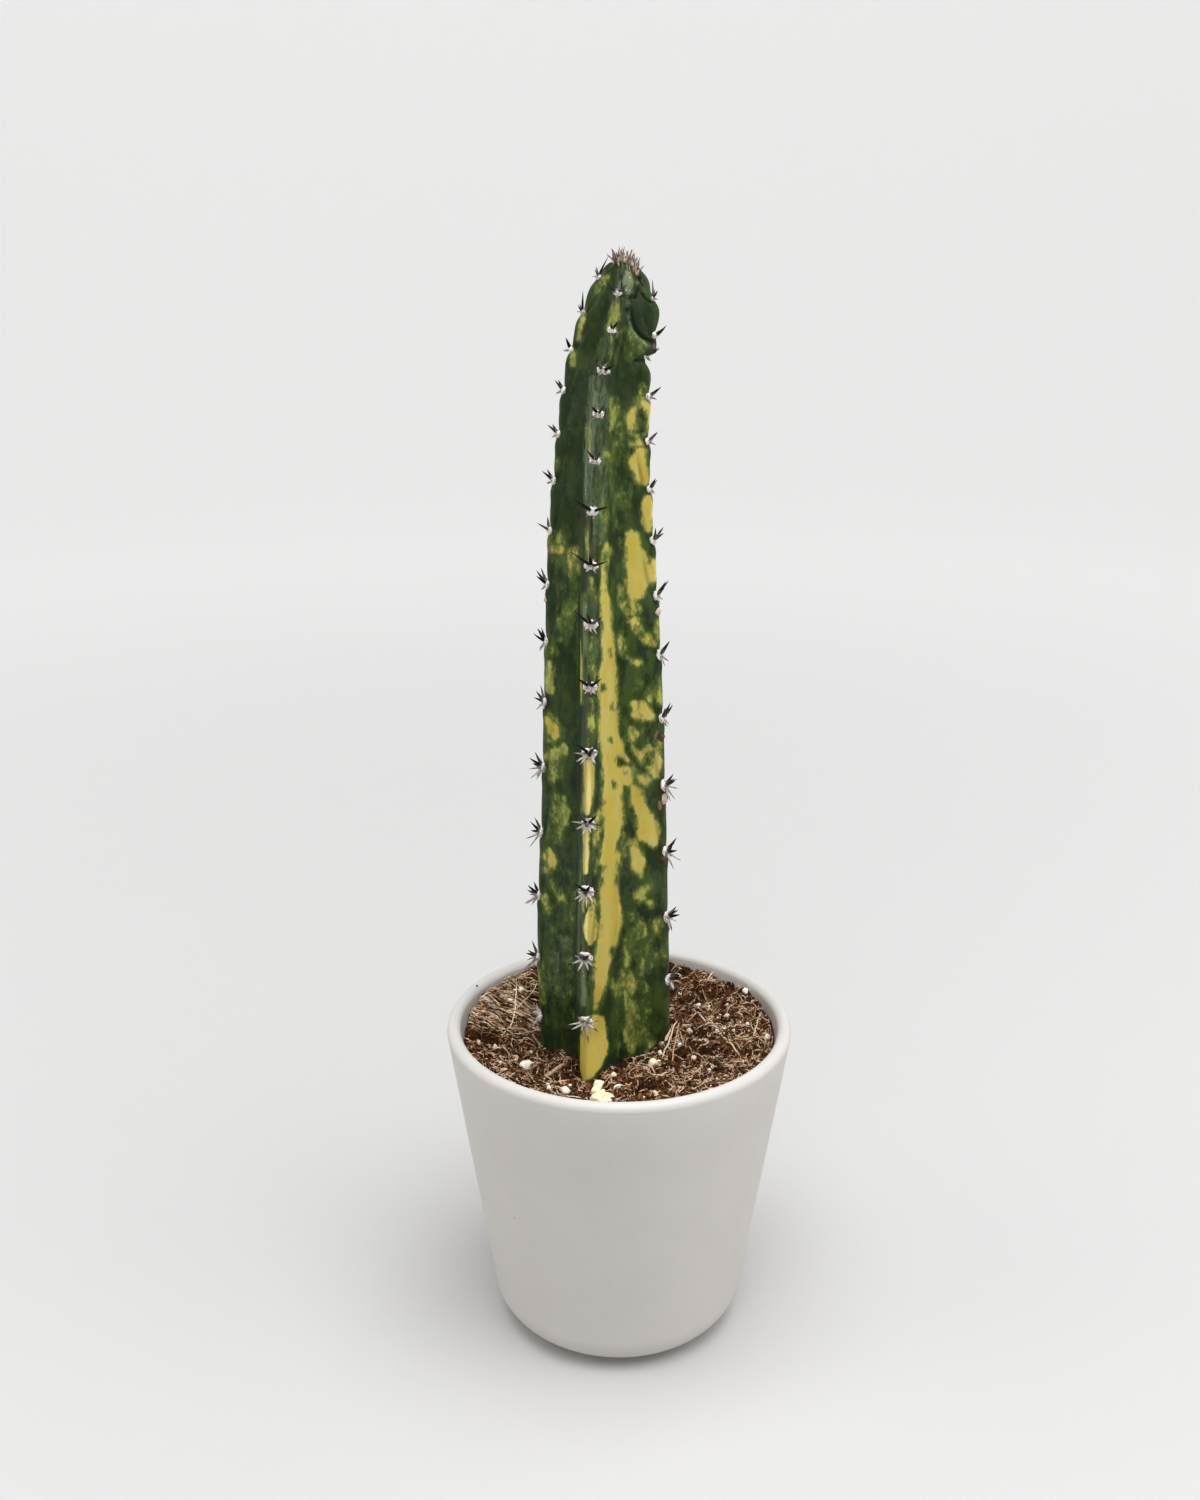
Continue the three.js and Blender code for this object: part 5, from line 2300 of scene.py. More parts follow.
@dataclass
class SoilForm:
    """The height of the potting mix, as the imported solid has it, with finer clods added."""

    at_stem: float = 102.6
    lean: float = 0.09
    rise: float = 5.6
    tilt: float = 2.7
    climb_from: float = 22.0
    clod_wave: float = 6.5
    clod_height: float = 1.15
    crumb_wave: float = 2.1
    crumb_height: float = 0.95
    tone_wave: float = 3.4
    hollow_shade: float = 0.9
    clod_waves: tuple[tuple[float, float, float, float], ...] = (
        (0.45, 0.58, 0.16, 0.7), (0.35, -0.22, 0.61, 2.6), (0.33, 0.71, -0.52, 2.1),
    )
    # picture x, picture y, spread along x, spread along y, height
    mounds: tuple[tuple[float, float, float, float, float], ...] = (
        (505, 1012, 11, 13, 1.5),
        (484, 1044, 9, 2.4, -2.6),
        (642, 1078, 7, 8, 1.6),
        (678, 1059, 3.6, 3.0, -2.2),
        (705, 1054, 4.5, 2.6, -1.8),
        (714, 1006, 4.5, 3.0, -1.8),
        (672, 966, 4, 4, 1.5),
        (556, 1070, 6, 3, -1.2),
        (588, 1092, 5, 3, -1.0),
        (655, 1090, 3, 3, -1.4),
        (735, 1060, 5, 3, -1.2),
        (550, 972, 12, 7, 2.2),
        (515, 984, 14, 8, 1.8),
        (600, 968, 12, 6, 0.9),
        (480, 1004, 8, 10, 1.6),
        (760, 1008, 12, 12, 1.6),
    )

    def even(self, x: Array, y: Array, pot: Pot) -> Array:
        """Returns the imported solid's surface height.

        Args:
            x: The places' x.
            y: The places' y.
            pot: The pot.

        Returns:
            One height for each place.
        """
        reach = np.hypot(x, y)
        front = -y / np.maximum(reach, 1e-6)
        climb = smoothstep(reach, self.climb_from, pot.inner_radius(pot.height))
        height = self.at_stem + climb * (self.rise - self.tilt * front) + (1 - climb) * self.lean * x
        for rise, along_x, along_y, start in self.clod_waves:
            height = height + rise * np.sin(along_x * x + along_y * y + start)
        return height

    def noise(self, x: Array, y: Array, cell: float, layers: int, seed: int) -> Array:
        """Returns noise at flat places."""
        places = np.stack([x, y, np.zeros_like(x)], axis=-1).reshape(-1, 3)
        return layered_noise(places, cell, layers, seed).reshape(np.shape(x))

    def mound(self, x: Array, y: Array, row: tuple[float, ...]) -> Array:
        """Returns one mound's rise, or a hollow's fall, at flat places.

        Args:
            x: The places' x.
            y: The places' y.
            row: The mound's row in the table.

        Returns:
            One rise for each place.
        """
        across, down, wide, deep, rise = row
        at_x, at_y = VIEW.on_level(across, down, self.at_stem + 2)
        return rise * np.exp(-(((x - at_x) / wide) ** 2) - ((y - at_y) / deep) ** 2)

    def tone(self, x: Array, y: Array) -> Array:
        """Returns how much paler the bits at a place are: it varies at random, and is lowest in the hollows
        between the clods as painted shade.

        Args:
            x: The places' x.
            y: The places' y.

        Returns:
            One value for each place, less than 0 in a hollow.
        """
        tone = self.noise(x, y, self.tone_wave, 2, 43)
        for row in self.mounds:
            if row[-1] < 0:
                tone = tone + self.hollow_shade * self.mound(x, y, row)
        return tone

    def height(self, x: Array, y: Array, pot: Pot, fine: bool = True) -> Array:
        """Returns the finished surface height, with or without its crumbs.

        Args:
            x: The places' x.
            y: The places' y.
            pot: The pot.
            fine: Whether its crumbs are added.

        Returns:
            One height for each place.
        """
        height = self.even(x, y, pot)
        for row in self.mounds:
            height = height + self.mound(x, y, row)
        height = height + self.clod_height * self.noise(x, y, self.clod_wave, 2, 31)
        if fine:
            height = height + self.crumb_height * self.noise(x, y, self.crumb_wave, 3, 37)
        return height


SOIL = SoilForm()


@dataclass
class PottingMix:
    """The mix: a crumbly bed, coir fibres, crumbs, perlite, bark, straws and pale lumps."""

    pot: Pot
    columns: int = 460
    surface_rows: int = 84
    seed: int = 101
    fibres: int = 4600
    fuzz_count: int = 6600
    combed: int = 1500
    crumb_count: int = 2400
    perlite_count: int = 380
    chip_count: int = 120
    edge_gap: float = 0.25
    hole_gap: float = 0.5
    tuck: float = 0.35
    surface_level: float = 106.0
    foot_levels: tuple[float, ...] = (98.0, 80.0, 60.0, 40.0, 20.8)
    # the hump of combed fibres: picture x and y, and its spreads
    hump: tuple[float, float] = (505.0, 1012.0)
    hump_spread: tuple[float, float] = (12.0, 15.0)
    crest: tuple[float, float] = (503.0, 1012.0)
    crest_spread: tuple[float, float] = (7.5, 8.5)
    fibre_lengths: tuple[float, float] = (1.6, 7.0)
    fibre_widths: tuple[float, float] = (0.07, 0.21)
    fibre_taper: tuple[float, ...] = (0.6, 1, 1.05, 1, 0.8, 0.4)
    loose_lengths: tuple[float, float] = (0.8, 3.4)
    combed_lengths: tuple[float, float] = (2.5, 7.5)
    fuzz_widths: tuple[float, float] = (0.07, 0.16)
    fuzz_taper: tuple[float, ...] = (0.7, 1, 1, 0.5)
    crumb_sizes: tuple[float, float] = (0.22, 0.75)
    chip_sizes: tuple[float, float] = (0.5, 1.5)
    # the largest chips: picture x, picture y and height, their sizes, tones and warmth
    large_chips: tuple[Triple, ...] = ((675, 966, 109), (566, 1080, 104), (717, 1046, 105))
    large_sizes: Triple = (2.6, 1.8, 1.1)
    large_tones: Triple = (0.55, 0.6, 0.7)
    large_warmth: Triple = (0.8, 0.2, 1.0)
    largest_radii: Triple = (2.5, 2.0, 1.9)

    def bed_rows(self) -> list[tuple[float, float]]:
        """Returns each bed ring's share of the way from stem to wall, and its depth below the top.

        Returns:
            One share and one depth for each ring.
        """
        rows = [(0.0, 27.0), (0.0, 14.0), (0.0, 4.0)]
        rows += [(share, 0.0) for share in np.linspace(0, 1, self.surface_rows)]
        return rows

    def bed(self) -> Piece:
        """Wraps one closed surface round the whole mix, from its hole to its floor.

        Returns:
            The piece.
        """
        rows = self.bed_rows()
        lower = [(self.pot.inner_radius(z), z) for z in self.foot_levels]
        lower += [self.pot.inner_corner(share) for share in (0.75, 0.5, 0.25, 0.0)]
        ball, turn, row = wrapped(self.columns, len(rows) + len(lower))
        angle = turn * FULL_TURN - math.radians(15.5)
        wall = np.stack([np.sin(angle), -np.cos(angle)], axis=-1)
        grow = np.where(row <= 3, self.hole_gap, -self.tuck)
        hole = FORM.skin(turn * FORM.ribs, np.full(len(turn), 103.5), grow)[:, :2]
        index = np.clip(row - 1, 0, len(rows) - 1)
        share = np.array([item[0] for item in rows])[index]
        below = np.array([item[1] for item in rows])[index]
        outer = self.pot.inner_radius(107.5) - self.edge_gap
        flat = mix(hole, wall * outer, share[:, None])
        z = SOIL.height(flat[:, 0], flat[:, 1], self.pot) - below
        reach = (self.pot.inner_radius(z) - self.edge_gap) / outer
        flat = flat * mix(1, reach, share**6)[:, None]
        points = np.concatenate([flat, z[:, None]], axis=1)
        for step, (radius, level) in enumerate(lower):
            here = row == len(rows) + 1 + step
            points[here, :2] = wall[here] * (radius - self.edge_gap)
            points[here, 2] = level + 0.3
        points[row == 0] = (FORM.at(np.array([90.0]))[0][0], 0, 74.0)
        points[row == len(rows) + len(lower) + 1] = (0, 0, self.pot.floor + 0.3)
        ball.points = points
        # how high the bed lies over its even level, which sets the peat's painted shade and highlight
        even = SOIL.height(points[:, 0], points[:, 1], self.pot, fine=False)
        level = np.clip(0.5 + (points[:, 2] - even) / 1.6, 0, 1)
        empty = np.zeros(len(points))
        ball.values = {"bed": np.stack([level, empty, empty, empty + 1], axis=-1)}
        return make_piece("peat_bed", ball, PeatFinish().material())

    def scatter(self, count: int, margin: float, rng: Random) -> Array:
        """Draws places on the mix, clear of the stem and the wall.

        Args:
            count: How many places are wanted.
            margin: How far they keep from stem and wall.
            rng: Draws the random numbers.

        Returns:
            The places' x and y.
        """
        places = np.empty((0, 2))
        outer = self.pot.inner_radius(107.0) - margin
        while len(places) < count:
            reach = outer * np.sqrt(rng.random(count * 2))
            angle = rng.uniform(0, FULL_TURN, count * 2)
            drawn = np.stack([reach * np.cos(angle), reach * np.sin(angle)], axis=-1)
            places = np.concatenate([places, drawn[self.clear_of_stem(drawn, margin)]])
        return places[:count]

    def on_ground(self, places: Array, lift: Array | float, fine: bool = False) -> Array:
        """Returns points that lie over flat places, lifted off the mix with or without its crumbs."""
        height = SOIL.height(places[..., 0], places[..., 1], self.pot, fine) + lift
        return np.concatenate([places, height[..., None]], axis=-1)

    def clear_of_stem(self, places: Array, margin: float) -> Array:
        """Returns whether each place is outside the stem's section.

        Args:
            places: The places' x and y.
            margin: How far from the section they have to be.

        Returns:
            One answer for each place.
        """
        lean, _, twist = (value[0] for value in FORM.at(np.array([104.0])))
        offset = places - np.array([lean, 0])
        angle = np.arctan2(offset[:, 0], -offset[:, 1]) + twist
        turns = np.linspace(0, FORM.ribs, 721)
        edge = FORM.skin(turns, np.full(721, 104.0))[:, :2] - np.array([lean, 0])
        edge_angle = np.unwrap(np.arctan2(edge[:, 0], -edge[:, 1]) + twist)
        edge_reach = np.linalg.norm(edge, axis=1)
        order = np.argsort(edge_angle)
        limit = np.interp(angle, edge_angle[order], edge_reach[order], period=FULL_TURN)
        return np.linalg.norm(offset, axis=1) > limit + margin

    def build(self) -> list[Piece]:
        """Models every part of the mix.

        Returns:
            The pieces.
        """
        rng = np.random.default_rng(self.seed)
        return [
            self.bed(),
            self.fibre_mat(rng),
            self.fuzz(rng),
            self.crumbs(rng),
            self.chips(rng),
            self.perlite(rng),
            self.straws(rng),
        ]

    def fibre_mat(self, rng: Random) -> Piece:
        """Lays thousands of short curled coir fibres over the bed.

        Args:
            rng: Draws the random numbers.

        Returns:
            The piece.
        """
        count, steps = self.fibres, 6
        template = model_strand(3, steps)
        start = self.scatter(count, 0.4, rng)
        heading = rng.uniform(0, FULL_TURN, count)
        hump = np.array(VIEW.on_level(*self.hump, self.surface_level))
        on_hump = np.exp(-np.sum(((start - hump) / np.array(self.hump_spread)) ** 2, axis=1))
        combed = rng.normal(0.0, 0.28, count)
        heading = np.where(rng.random(count) < on_hump * 1.2, combed, heading)
        length = rng.uniform(*self.fibre_lengths, count) * mix(1, 1.5, on_hump)
        curl = rng.normal(0, 0.16, count) * 7 / length
        flat = np.zeros((count, steps, 2))
        flat[:, 0] = start
        for step in range(1, steps):
            wave = 0.35 * np.sin(step * 2.1 + start[:, 0] * 3)
            heading = heading + curl * length / steps + wave * mix(0.3, 1.0, on_hump)
            stride = length / (steps - 1)
            flat[:, step, 0] = flat[:, step - 1, 0] + stride * np.cos(heading)
            flat[:, step, 1] = flat[:, step - 1, 1] + stride * np.sin(heading)
        flat = held_in(flat, self.pot.inner_radius(self.surface_level) - 0.5)
        width = rng.uniform(*self.fibre_widths, count)
        lift = rng.uniform(-0.25, 1.0, count)[:, None] + rng.normal(0, 0.22, (count, steps))
        path = self.on_ground(flat, lift)
        # painted shade: fibres that lie lower in the mat are darker, those lifted higher paler, and all are
        # darker in the hollows
        tone = rng.beta(1.4, 2.4, count) + 0.20 * on_hump + 0.38 * (lift[:, 0] - 0.45)
        tone = np.clip(tone + 0.5 * SOIL.tone(*start.T), 0, 1)
        warm = rng.uniform(0, 0.5, count)
        told = np.stack([tone, warm, rng.random(count)], axis=-1)
        shape = laid_along(template, path, width[:, None] * np.array(self.fibre_taper), told, "bit")
        return make_piece("coir_fibres", shape, CoirFinish().material())

    def fuzz(self, rng: Random) -> Piece:
        """Lays short pale fibres over the mat, combed one way over the hump.

        Args:
            rng: Draws the random numbers.

        Returns:
            The piece.
        """
        steps = 4
        template = model_strand(3, steps)
        count = self.fuzz_count + self.combed
        crest = np.array(VIEW.on_level(*self.crest, self.surface_level))
        start = self.scatter(self.fuzz_count, 0.4, rng)
        on_crest = crest + rng.normal(0, 1, (self.combed, 2)) * np.array(self.crest_spread)
        limit = self.pot.inner_radius(self.surface_level) - 1.0
        start = np.concatenate([start, held_in(on_crest, limit)])
        loose = np.arange(count) < self.fuzz_count
        heading = np.where(loose, rng.uniform(0, FULL_TURN, count), rng.normal(-0.1, 0.22, count))
        lengths = (rng.uniform(*self.loose_lengths, count), rng.uniform(*self.combed_lengths, count))
        length = np.where(loose, *lengths)
        curl = np.where(loose, rng.normal(0, 0.7, count), rng.normal(-0.35, 0.35, count))
        along = np.linspace(-0.5, 0.5, steps)[None, :]
        bearing = heading[:, None] + curl[:, None] * along
        stride = length[:, None] / (steps - 1)
        flat = np.stack([
            np.cumsum(stride * np.cos(bearing), axis=1),
            np.cumsum(stride * np.sin(bearing), axis=1),
        ], axis=-1)
        flat = held_in(flat - flat.mean(axis=1, keepdims=True) + start[:, None, :], limit + 0.6)
        lift = rng.uniform(0.2, 1.5, count)[:, None] + rng.normal(0, 0.3, (count, steps))
        path = self.on_ground(flat, lift)
        width = rng.uniform(*self.fuzz_widths, count)[:, None] * np.array(self.fuzz_taper)
        bright = rng.random(count) < np.where(loose, 0.31, 0.47)
        tone = np.where(bright, rng.uniform(0.62, 1.10, count), rng.uniform(0.0, 0.32, count))
        # painted shade: darker in the hollows between the clods
        tone = np.clip(tone + 0.5 * SOIL.tone(*start.T), 0, 1.1)
        width *= np.where(bright, 1.3, 1.0)[:, None]
        told = np.stack([tone, rng.uniform(0, 0.5, count), tone], axis=-1)
        shape = laid_along(template, path, width, told, "bit")
        return make_piece("coir_fuzz", shape, CoirFinish("coir_fuzz").material())

    def crumbs(self, rng: Random) -> Piece:
        """Scatters small crumbs of peat and coir.

        Args:
            rng: Draws the random numbers.

        Returns:
            The piece.
        """
        places = self.scatter(self.crumb_count, 0.6, rng)
        size = rng.uniform(*self.crumb_sizes, self.crumb_count)
        centre = self.on_ground(places, size * 0.2, fine=True)
        radii = size[:, None] * rng.uniform(0.5, 1.3, (self.crumb_count, 3))
        # painted shade: darker in the hollows between the clods
        tone = rng.beta(1.4, 3.0, self.crumb_count) + 0.3 * SOIL.tone(*places.T)
        tone = np.clip(tone, 0, 1)
        told = np.stack([tone, rng.uniform(0, 0.6, self.crumb_count), tone], axis=-1)
        on_lip = np.array([*VIEW.on_level(477, 986, self.pot.height), self.pot.height + 0.1])
        centre = np.concatenate([centre, on_lip[None]])
        radii = np.concatenate([radii, [[0.5, 0.35, 0.3]]])
        told = np.concatenate([told, [[0.2, 0.0, 0.2]]])
        shape = grains(model_grain(1), centre, radii, 0.45, told, "bit", rng)
        return make_piece("peat_crumbs", shape, CoirFinish("peat_crumb").material(), smooth=False)

    def chips(self, rng: Random) -> Piece:
        """Scatters flat chips of bark, with the larger ones where the photograph shows them.

        Args:
            rng: Draws the random numbers.

        Returns:
            The piece.
        """
        places = self.scatter(self.chip_count, 1.2, rng)
        named = np.array([VIEW.on_level(*place) for place in self.large_chips])
        places = np.concatenate([places, named])
        count = len(places)
        size = rng.uniform(*self.chip_sizes, count)
        size[-3:] = self.large_sizes
        spreads = ((0.8, 1.5), (0.5, 0.9), (0.25, 0.5))
        radii = size[:, None] * np.stack([rng.uniform(*spread, count) for spread in spreads], axis=-1)
        radii[-3] = self.largest_radii
        centre = self.on_ground(places, 0.25, fine=True)
        tone = rng.beta(2.0, 2.4, count)
        warm = rng.uniform(0, 0.7, count)
        tone[-3:], warm[-3:] = self.large_tones, self.large_warmth
        told = np.stack([tone, warm, tone], axis=-1)
        shape = grains(model_grain(2), centre, radii, 0.42, told, "bit", rng)
        return make_piece("bark_chips", shape, CoirFinish("bark").material(), smooth=False)

    def perlite(self, rng: Random) -> Piece:
        """Scatters perlite grains and sets the larger pale lumps.

        Args:
            rng: Draws the random numbers.

        Returns:
            The piece.
        """
        places = self.scatter(self.perlite_count, 0.8, rng)
        size = 0.18 + 0.42 * rng.beta(1.1, 3.4, self.perlite_count)
        cream = (rng.random(self.perlite_count) < 0.25) * rng.uniform(0.3, 0.8, self.perlite_count)
        pink = (rng.random(self.perlite_count) < 0.2) * rng.uniform(0.3, 0.9, self.perlite_count)
        shapes = [self.grain_set(model_grain(2), places, size, cream, pink, 0.35, rng)]
        # picture x, picture y, radius, cream share, pink share
        named = (
            (599, 1081, 1.9, 0.75, 0), (596, 1086, 1.7, 0.8, 0), (601, 1094, 2.3, 0.8, 0),
            (596, 1099, 1.9, 0.75, 0), (608, 1098, 1.9, 0.7, 0), (603, 1102, 1.8, 0.8, 0),
            (614, 1074, 1.25, 0.15, 0), (619, 1086, 1.35, 0.35, 0), (525, 1058, 1.9, 0.25, 0),
            (529, 1054, 1.2, 0.2, 0), (653, 1062, 1.7, 0.55, 0), (658, 1064, 1.2, 0.6, 0),
            (565, 1086, 1.5, 0.25, 0.3), (548, 1083, 0.8, 0, 0), (549, 1088, 0.8, 0, 0),
            (725, 1032, 1.1, 0.1, 0), (717, 1036, 0.8, 0, 0), (689, 1032, 1.2, 0.1, 0.8),
            (747, 996, 0.9, 0, 0), (745, 1007, 1.1, 0.1, 0.2), (680, 1045, 0.8, 0, 0),
            (699, 1010, 0.9, 0.1, 0), (727, 1024, 0.8, 0, 0), (733, 1037, 0.8, 0, 0.3),
            (747, 1034, 0.8, 0, 0), (767, 1045, 1.0, 0.3, 0.3), (495, 1046, 0.9, 0.2, 0),
            (515, 1052, 0.6, 0, 0), (531, 1045, 0.6, 0, 0), (500, 1063, 0.6, 0, 0),
            (712, 1074, 0.6, 0, 0), (709, 1077, 0.6, 0, 0), (510, 1010, 1.1, 0.2, 0.1),
            (514, 1003, 0.8, 0.1, 0), (521, 999, 1.4, 0.45, 0), (694, 1062, 1.0, 0.1, 0.6),
            (662, 1043, 0.9, 0.3, 0), (660, 1052, 0.8, 0.2, 0), (570, 1080, 0.8, 0, 0),
        )
        spots = np.array([VIEW.on_level(x, y, 105.5 if y < 1060 else 104.5) for x, y, *_ in named])
        radius, cream, pink = (np.array([row[index] for row in named]) for index in (2, 3, 4))
        shapes.append(self.grain_set(model_grain(4), spots, radius, cream, pink, 0.42, rng))
        return make_piece("perlite_grains", joined(shapes), PerliteFinish().material())

    def grain_set(self, template: Shape, places: Array, size: Array, cream: Array,
                  pink: Array, rough: float, rng: Random) -> Shape:
        """Sets pale grains on the bed.

        Args:
            template: The round grain.
            places: The grains' x and y.
            size: Their radii.
            cream: How yellow each is.
            pink: How pink each is.
            rough: How uneven they are.
            rng: Draws the random numbers.

        Returns:
            All grains as one shape.
        """
        centre = self.on_ground(places, 0.25 + size * 0.35)
        radii = size[:, None] * rng.uniform(0.75, 1.15, (len(places), 3))
        told = np.stack([cream, pink, size], axis=-1)
        return grains(template, centre, radii, rough, told, "bit", rng)

    def straws(self, rng: Random) -> Piece:
        """Lays the single fibres, straws and twigs that stand out in the photograph.

        Args:
            rng: Draws the random numbers.

        Returns:
            The piece.
        """
        # each: stations of picture x, picture y and lift; then radius, tone
        named = (
            (((517, 997, 1.6), (516, 1012, 1.8), (513, 1024, 1.5), (507, 1034, 1.2), (500, 1042, 0.6)),
             0.27, 1.0),
            (((537, 996, 1.6), (530, 1005, 1.8), (521, 1012, 1.8), (512, 1021, 1.4)), 0.17, 0.9),
            (((529, 1022, 1.0), (520, 1025, 1.2), (513, 1029, 1.0)), 0.16, 0.85),
            (((541, 1071, 0.6), (550, 1065, 1.4), (558, 1060, 1.8), (564, 1059, 1.8)), 0.75, 0.72),
            (((546, 1082, 0.6), (552, 1077, 1.2), (561, 1075, 1.4), (569, 1074, 1.0)), 0.22, 0.80),
            (((560, 1066, 1.6), (560, 1073, 1.4), (561, 1080, 0.8)), 0.20, 0.75),
            (((726, 983, 1.2), (718, 985, 1.5), (713, 987, 1.4), (709, 992, 1.3), (706, 997, 0.9)),
             0.26, 0.92),
            (((697, 1019, 0.9), (703, 1023, 1.2), (709, 1026, 1.1), (712, 1028, 0.8)), 0.30, 0.95),
            (((727, 1051, 0.8), (733, 1055, 1.3), (740, 1059, 1.2), (745, 1062, 0.7)), 0.27, 0.85),
            (((759, 1027, 1.0), (757, 1035, 1.3), (754, 1041, 1.2), (754, 1046, 0.8)), 0.24, 0.85),
            (((677, 1028, 3.6), (673, 1036, 2.8), (668, 1046, 1.8), (662, 1058, 0.8)), 0.28, 0.86),
            (((679, 1032, 2.6), (676, 1042, 2.0), (673, 1052, 1.4), (672, 1062, 0.6)), 0.28, 0.70),
            (((670, 1034, 2.0), (667, 1038, 1.4), (665, 1042, 1.0)), 0.55, 0.98),
            (((641, 1062, 1.2), (648, 1067, 1.6), (655, 1073, 1.0)), 0.22, 0.85),
            (((633, 1057, 1.4), (634, 1066, 1.6), (638, 1075, 0.8)), 0.20, 0.70),
            (((555, 1095, 0.6), (565, 1093, 1.2), (577, 1093, 1.2), (582, 1096, 0.8)), 0.24, 0.85),
            (((464, 1046, 0.8), (478, 1046, 1.0), (492, 1044, 1.0)), 0.28, 0.72),
            (((684, 975, 1.0), (694, 980, 1.3), (700, 986, 0.9)), 0.20, 0.70),
            (((702, 1002, 1.0), (707, 1008, 1.2), (708, 1016, 0.8)), 0.20, 0.75),
            (((673, 1053, 0.8), (681, 1055, 1.2), (688, 1056, 0.8)), 0.20, 0.72),
        )
        steps = 12
        template = model_strand(6, steps)
        paths, widths, told = [], [], []
        even = np.linspace(0, 1, steps)
        for stations, radius, tone in named:
            spots = np.array([[*VIEW.on_level(x, y, 104.8), lift] for x, y, lift in stations])
            given = np.linspace(0, 1, len(stations))
            path = np.stack([np.interp(even, given, spots[:, axis]) for axis in range(3)], axis=-1)
            path[1:-1] = (path[:-2] + 2 * path[1:-1] + path[2:]) / 4
            path = self.on_ground(path[:, :2], path[:, 2] - 0.2)
            path[:, :2] += 0.12 * rng.normal(0, 1, (steps, 2))
            paths.append(path)
            widths.append(radius * (1 - 0.45 * np.abs(2 * even - 1) ** 3) * rng.uniform(0.9, 1.1, steps))
            told.append((tone, 0.1, rng.random()))
        shape = laid_along(template, np.array(paths), np.array(widths), np.array(told), "bit")
        return make_piece("straws_and_twigs", shape, CoirFinish("straw").material())


# The room


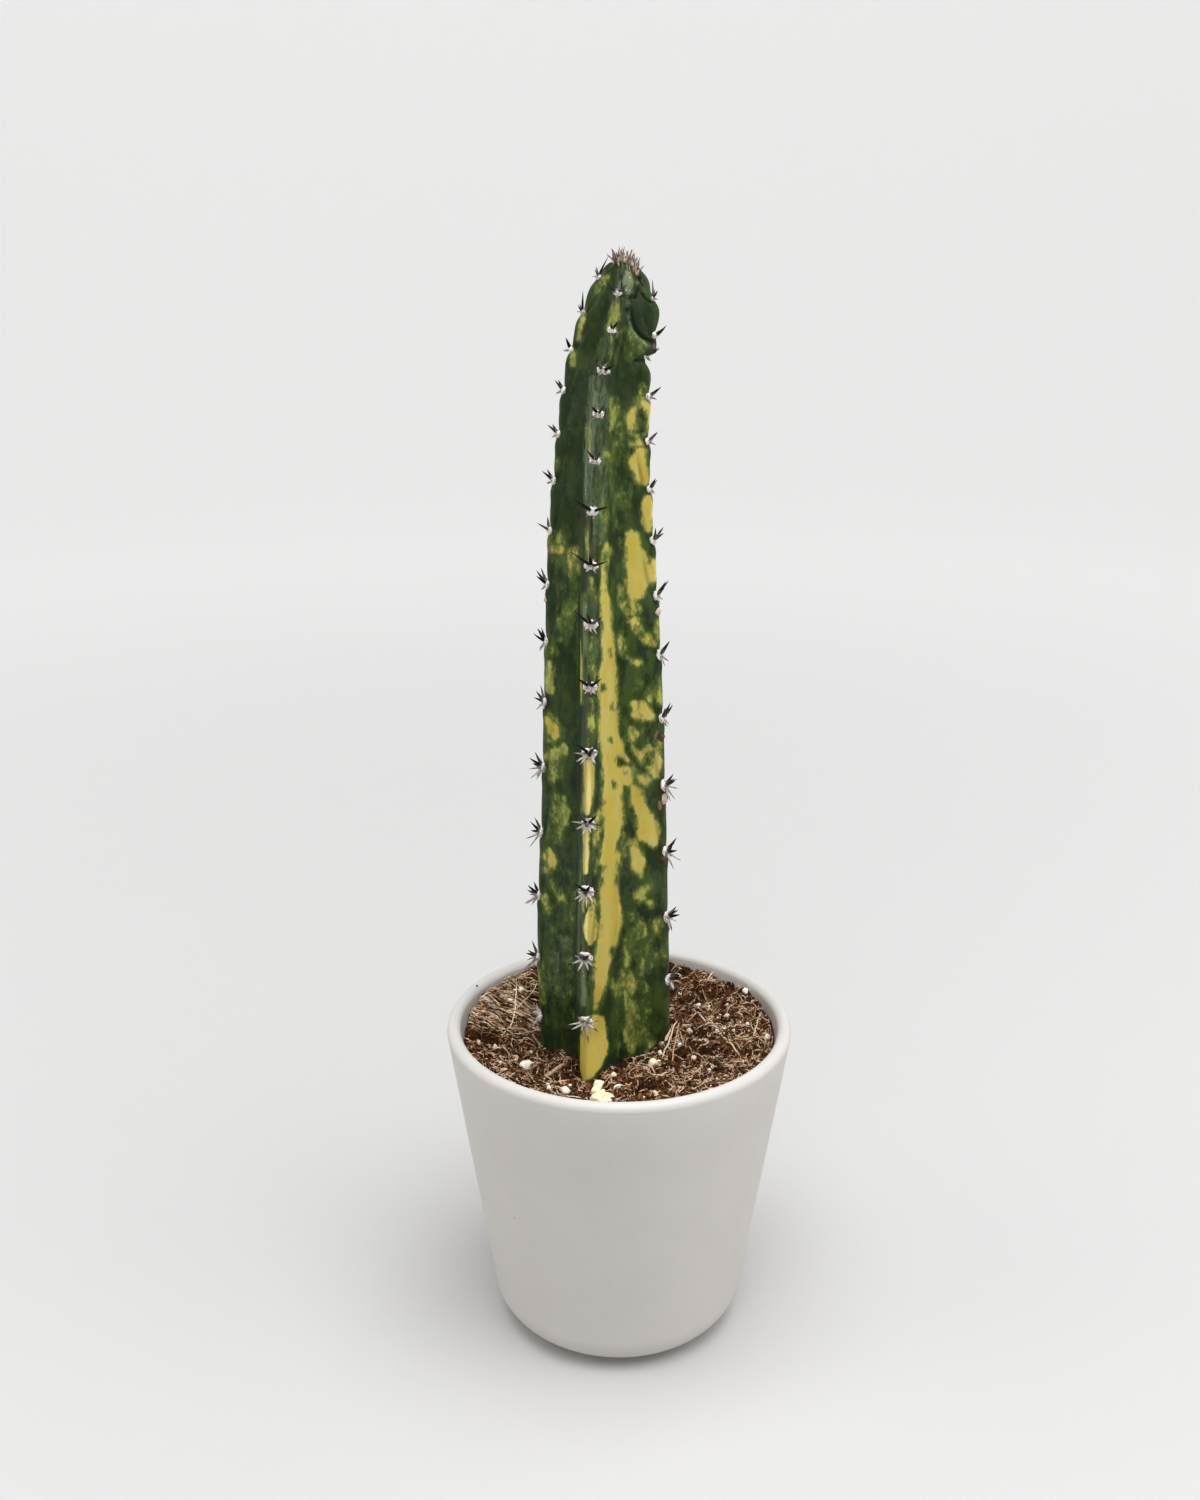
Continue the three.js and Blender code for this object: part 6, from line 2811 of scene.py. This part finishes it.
@dataclass
class Studio:
    """A pale floor that curves up all round, and soft light."""

    floor_radius: float = 1.9
    wall_radius: float = 2.9
    wall_height: float = 1.5
    curve_steps: int = 12
    segments: int = 96
    paper: Colour = (0.587, 0.576, 0.567, 1)
    glow: float = 0.515
    glow_from: float = -0.3
    glow_to: float = 1.7
    sky: float = 0.14
    cool: Triple = (0.955, 0.98, 1.0)
    warm: Triple = (1.0, 0.965, 0.92)
    overhead_power: float = 23.0
    left_power: float = 2.6
    right_power: float = 3.2

    def build(self) -> None:
        """Makes the backdrop, the lights and the world."""
        self.backdrop()
        self.world()
        self.light("overhead_softbox", (0.10, -0.30, 1.32), (1.2, 1.2), self.overhead_power, self.cool)
        self.light("left_softbox", (-1.15, -0.15, 0.72), (0.7, 1.0), self.left_power, self.warm)
        self.light("right_softbox", (1.15, -0.25, 0.74), (0.7, 1.0), self.right_power, self.warm)

    def backdrop(self) -> None:
        """Draws a disc out and up into a bowl of even paper."""
        start_fresh()
        bpy.ops.mesh.primitive_circle_add(vertices=self.segments, radius=self.floor_radius, fill_type="NGON")
        floor = bpy.context.object
        floor.name = "pale_floor"
        bpy.ops.object.mode_set(mode="EDIT")
        bpy.ops.mesh.select_all(action="SELECT")
        bpy.ops.mesh.inset(thickness=self.floor_radius * 0.5)
        bpy.ops.object.mode_set(mode="OBJECT")
        rim = [v.index for v in floor.data.vertices if math.hypot(v.co.x, v.co.y) > self.floor_radius * 0.99]
        for vertex in floor.data.vertices:
            vertex.select = vertex.index in rim
        for edge in floor.data.edges:
            edge.select = all(index in rim for index in edge.vertices)
        for polygon in floor.data.polygons:
            polygon.select = False
        bpy.ops.object.mode_set(mode="EDIT")
        curve = self.wall_radius - self.floor_radius
        stations = []
        for step in range(self.curve_steps + 1):
            angle = step / self.curve_steps * math.pi / 2
            stations.append((self.floor_radius + curve * math.sin(angle), curve * (1 - math.cos(angle))))
        draw_through([*stations, (self.wall_radius, self.wall_height)], 1.0)
        bpy.ops.object.mode_set(mode="OBJECT")
        bpy.ops.object.shade_smooth()
        floor.data.materials.append(self.paper_finish())

    def paper_finish(self) -> bpy.types.Material:
        """Returns matte paper, lit from behind where it is far from the plant.

        Its glow lights the plant less from the front, but looks the same from every side.

        Returns:
            The material.
        """
        material, wiring, shader = new_material("backdrop_paper")
        flat = wiring.place((1, 1, 0))
        reach = wiring.add("VectorMath", "Value", {"operation": "LENGTH"}, i0=flat)
        parts = wiring.tree.nodes.new("ShaderNodeSeparateXYZ")
        wiring.tree.links.new(flat, parts.inputs[0])
        behind = wiring.math("MULTIPLY_ADD", wiring.step(parts.outputs[1], -0.6, 0.5), 0.75, 0.25)
        behind = wiring.math("MAXIMUM", behind, wiring.add("LightPath", "Is Camera Ray"))
        share = wiring.times(wiring.step(reach, self.glow_from, self.glow_to), behind)
        glow = wiring.blend(share, (0, 0, 0, 1), (self.glow, self.glow, self.glow, 1))
        finish_surface(wiring, shader, self.paper, 0.9)
        shader.inputs["Specular IOR Level"].default_value = 0.1
        wiring.tree.links.new(glow, shader.inputs["Emission Color"])
        shader.inputs["Emission Strength"].default_value = 1.0
        return material

    def world(self) -> None:
        """Gives the surroundings an even pale light."""
        world = bpy.data.worlds.new("studio")
        world.use_nodes = True
        background = world.node_tree.nodes["Background"]
        background.inputs["Color"].default_value = (0.98, 0.99, 1.0, 1)
        background.inputs["Strength"].default_value = self.sky
        bpy.context.scene.world = world
        bpy.context.scene.view_settings.view_transform = "Standard"

    def light(self, name: str, place: Triple, size: tuple[float, float], power: float,
              tint: Triple) -> None:
        """Hangs one soft light, aimed at the plant.

        Args:
            name: Its name.
            place: Where it hangs, in metres.
            size: Its width and height.
            power: Its power in watts.
            tint: Its colour.
        """
        data = bpy.data.lights.new(name, "AREA")
        data.shape = "RECTANGLE"
        data.size, data.size_y = size
        data.energy = power
        data.color = tint
        lamp = bpy.data.objects.new(name, data)
        lamp.location = place
        aim = Vector((0, 0, 0.2)) - Vector(place)
        lamp.rotation_euler = aim.to_track_quat("-Z", "Y").to_euler()
        bpy.context.scene.collection.objects.link(lamp)


def main() -> None:
    """Builds the room, the pot, the potting mix and the stem."""
    logging.basicConfig(level=logging.INFO, format="%(name)s %(message)s")
    VIEW.make_camera()
    Studio().build()
    pot = Pot()
    settle(pot.build(), "pot")
    for piece in PottingMix(pot).build():
        settle(piece, "soil")
    settle(StemSkin().build(), "stem")
    for piece in Areoles().build():
        settle(piece, "stem")


if __name__ == "__main__":
    main()
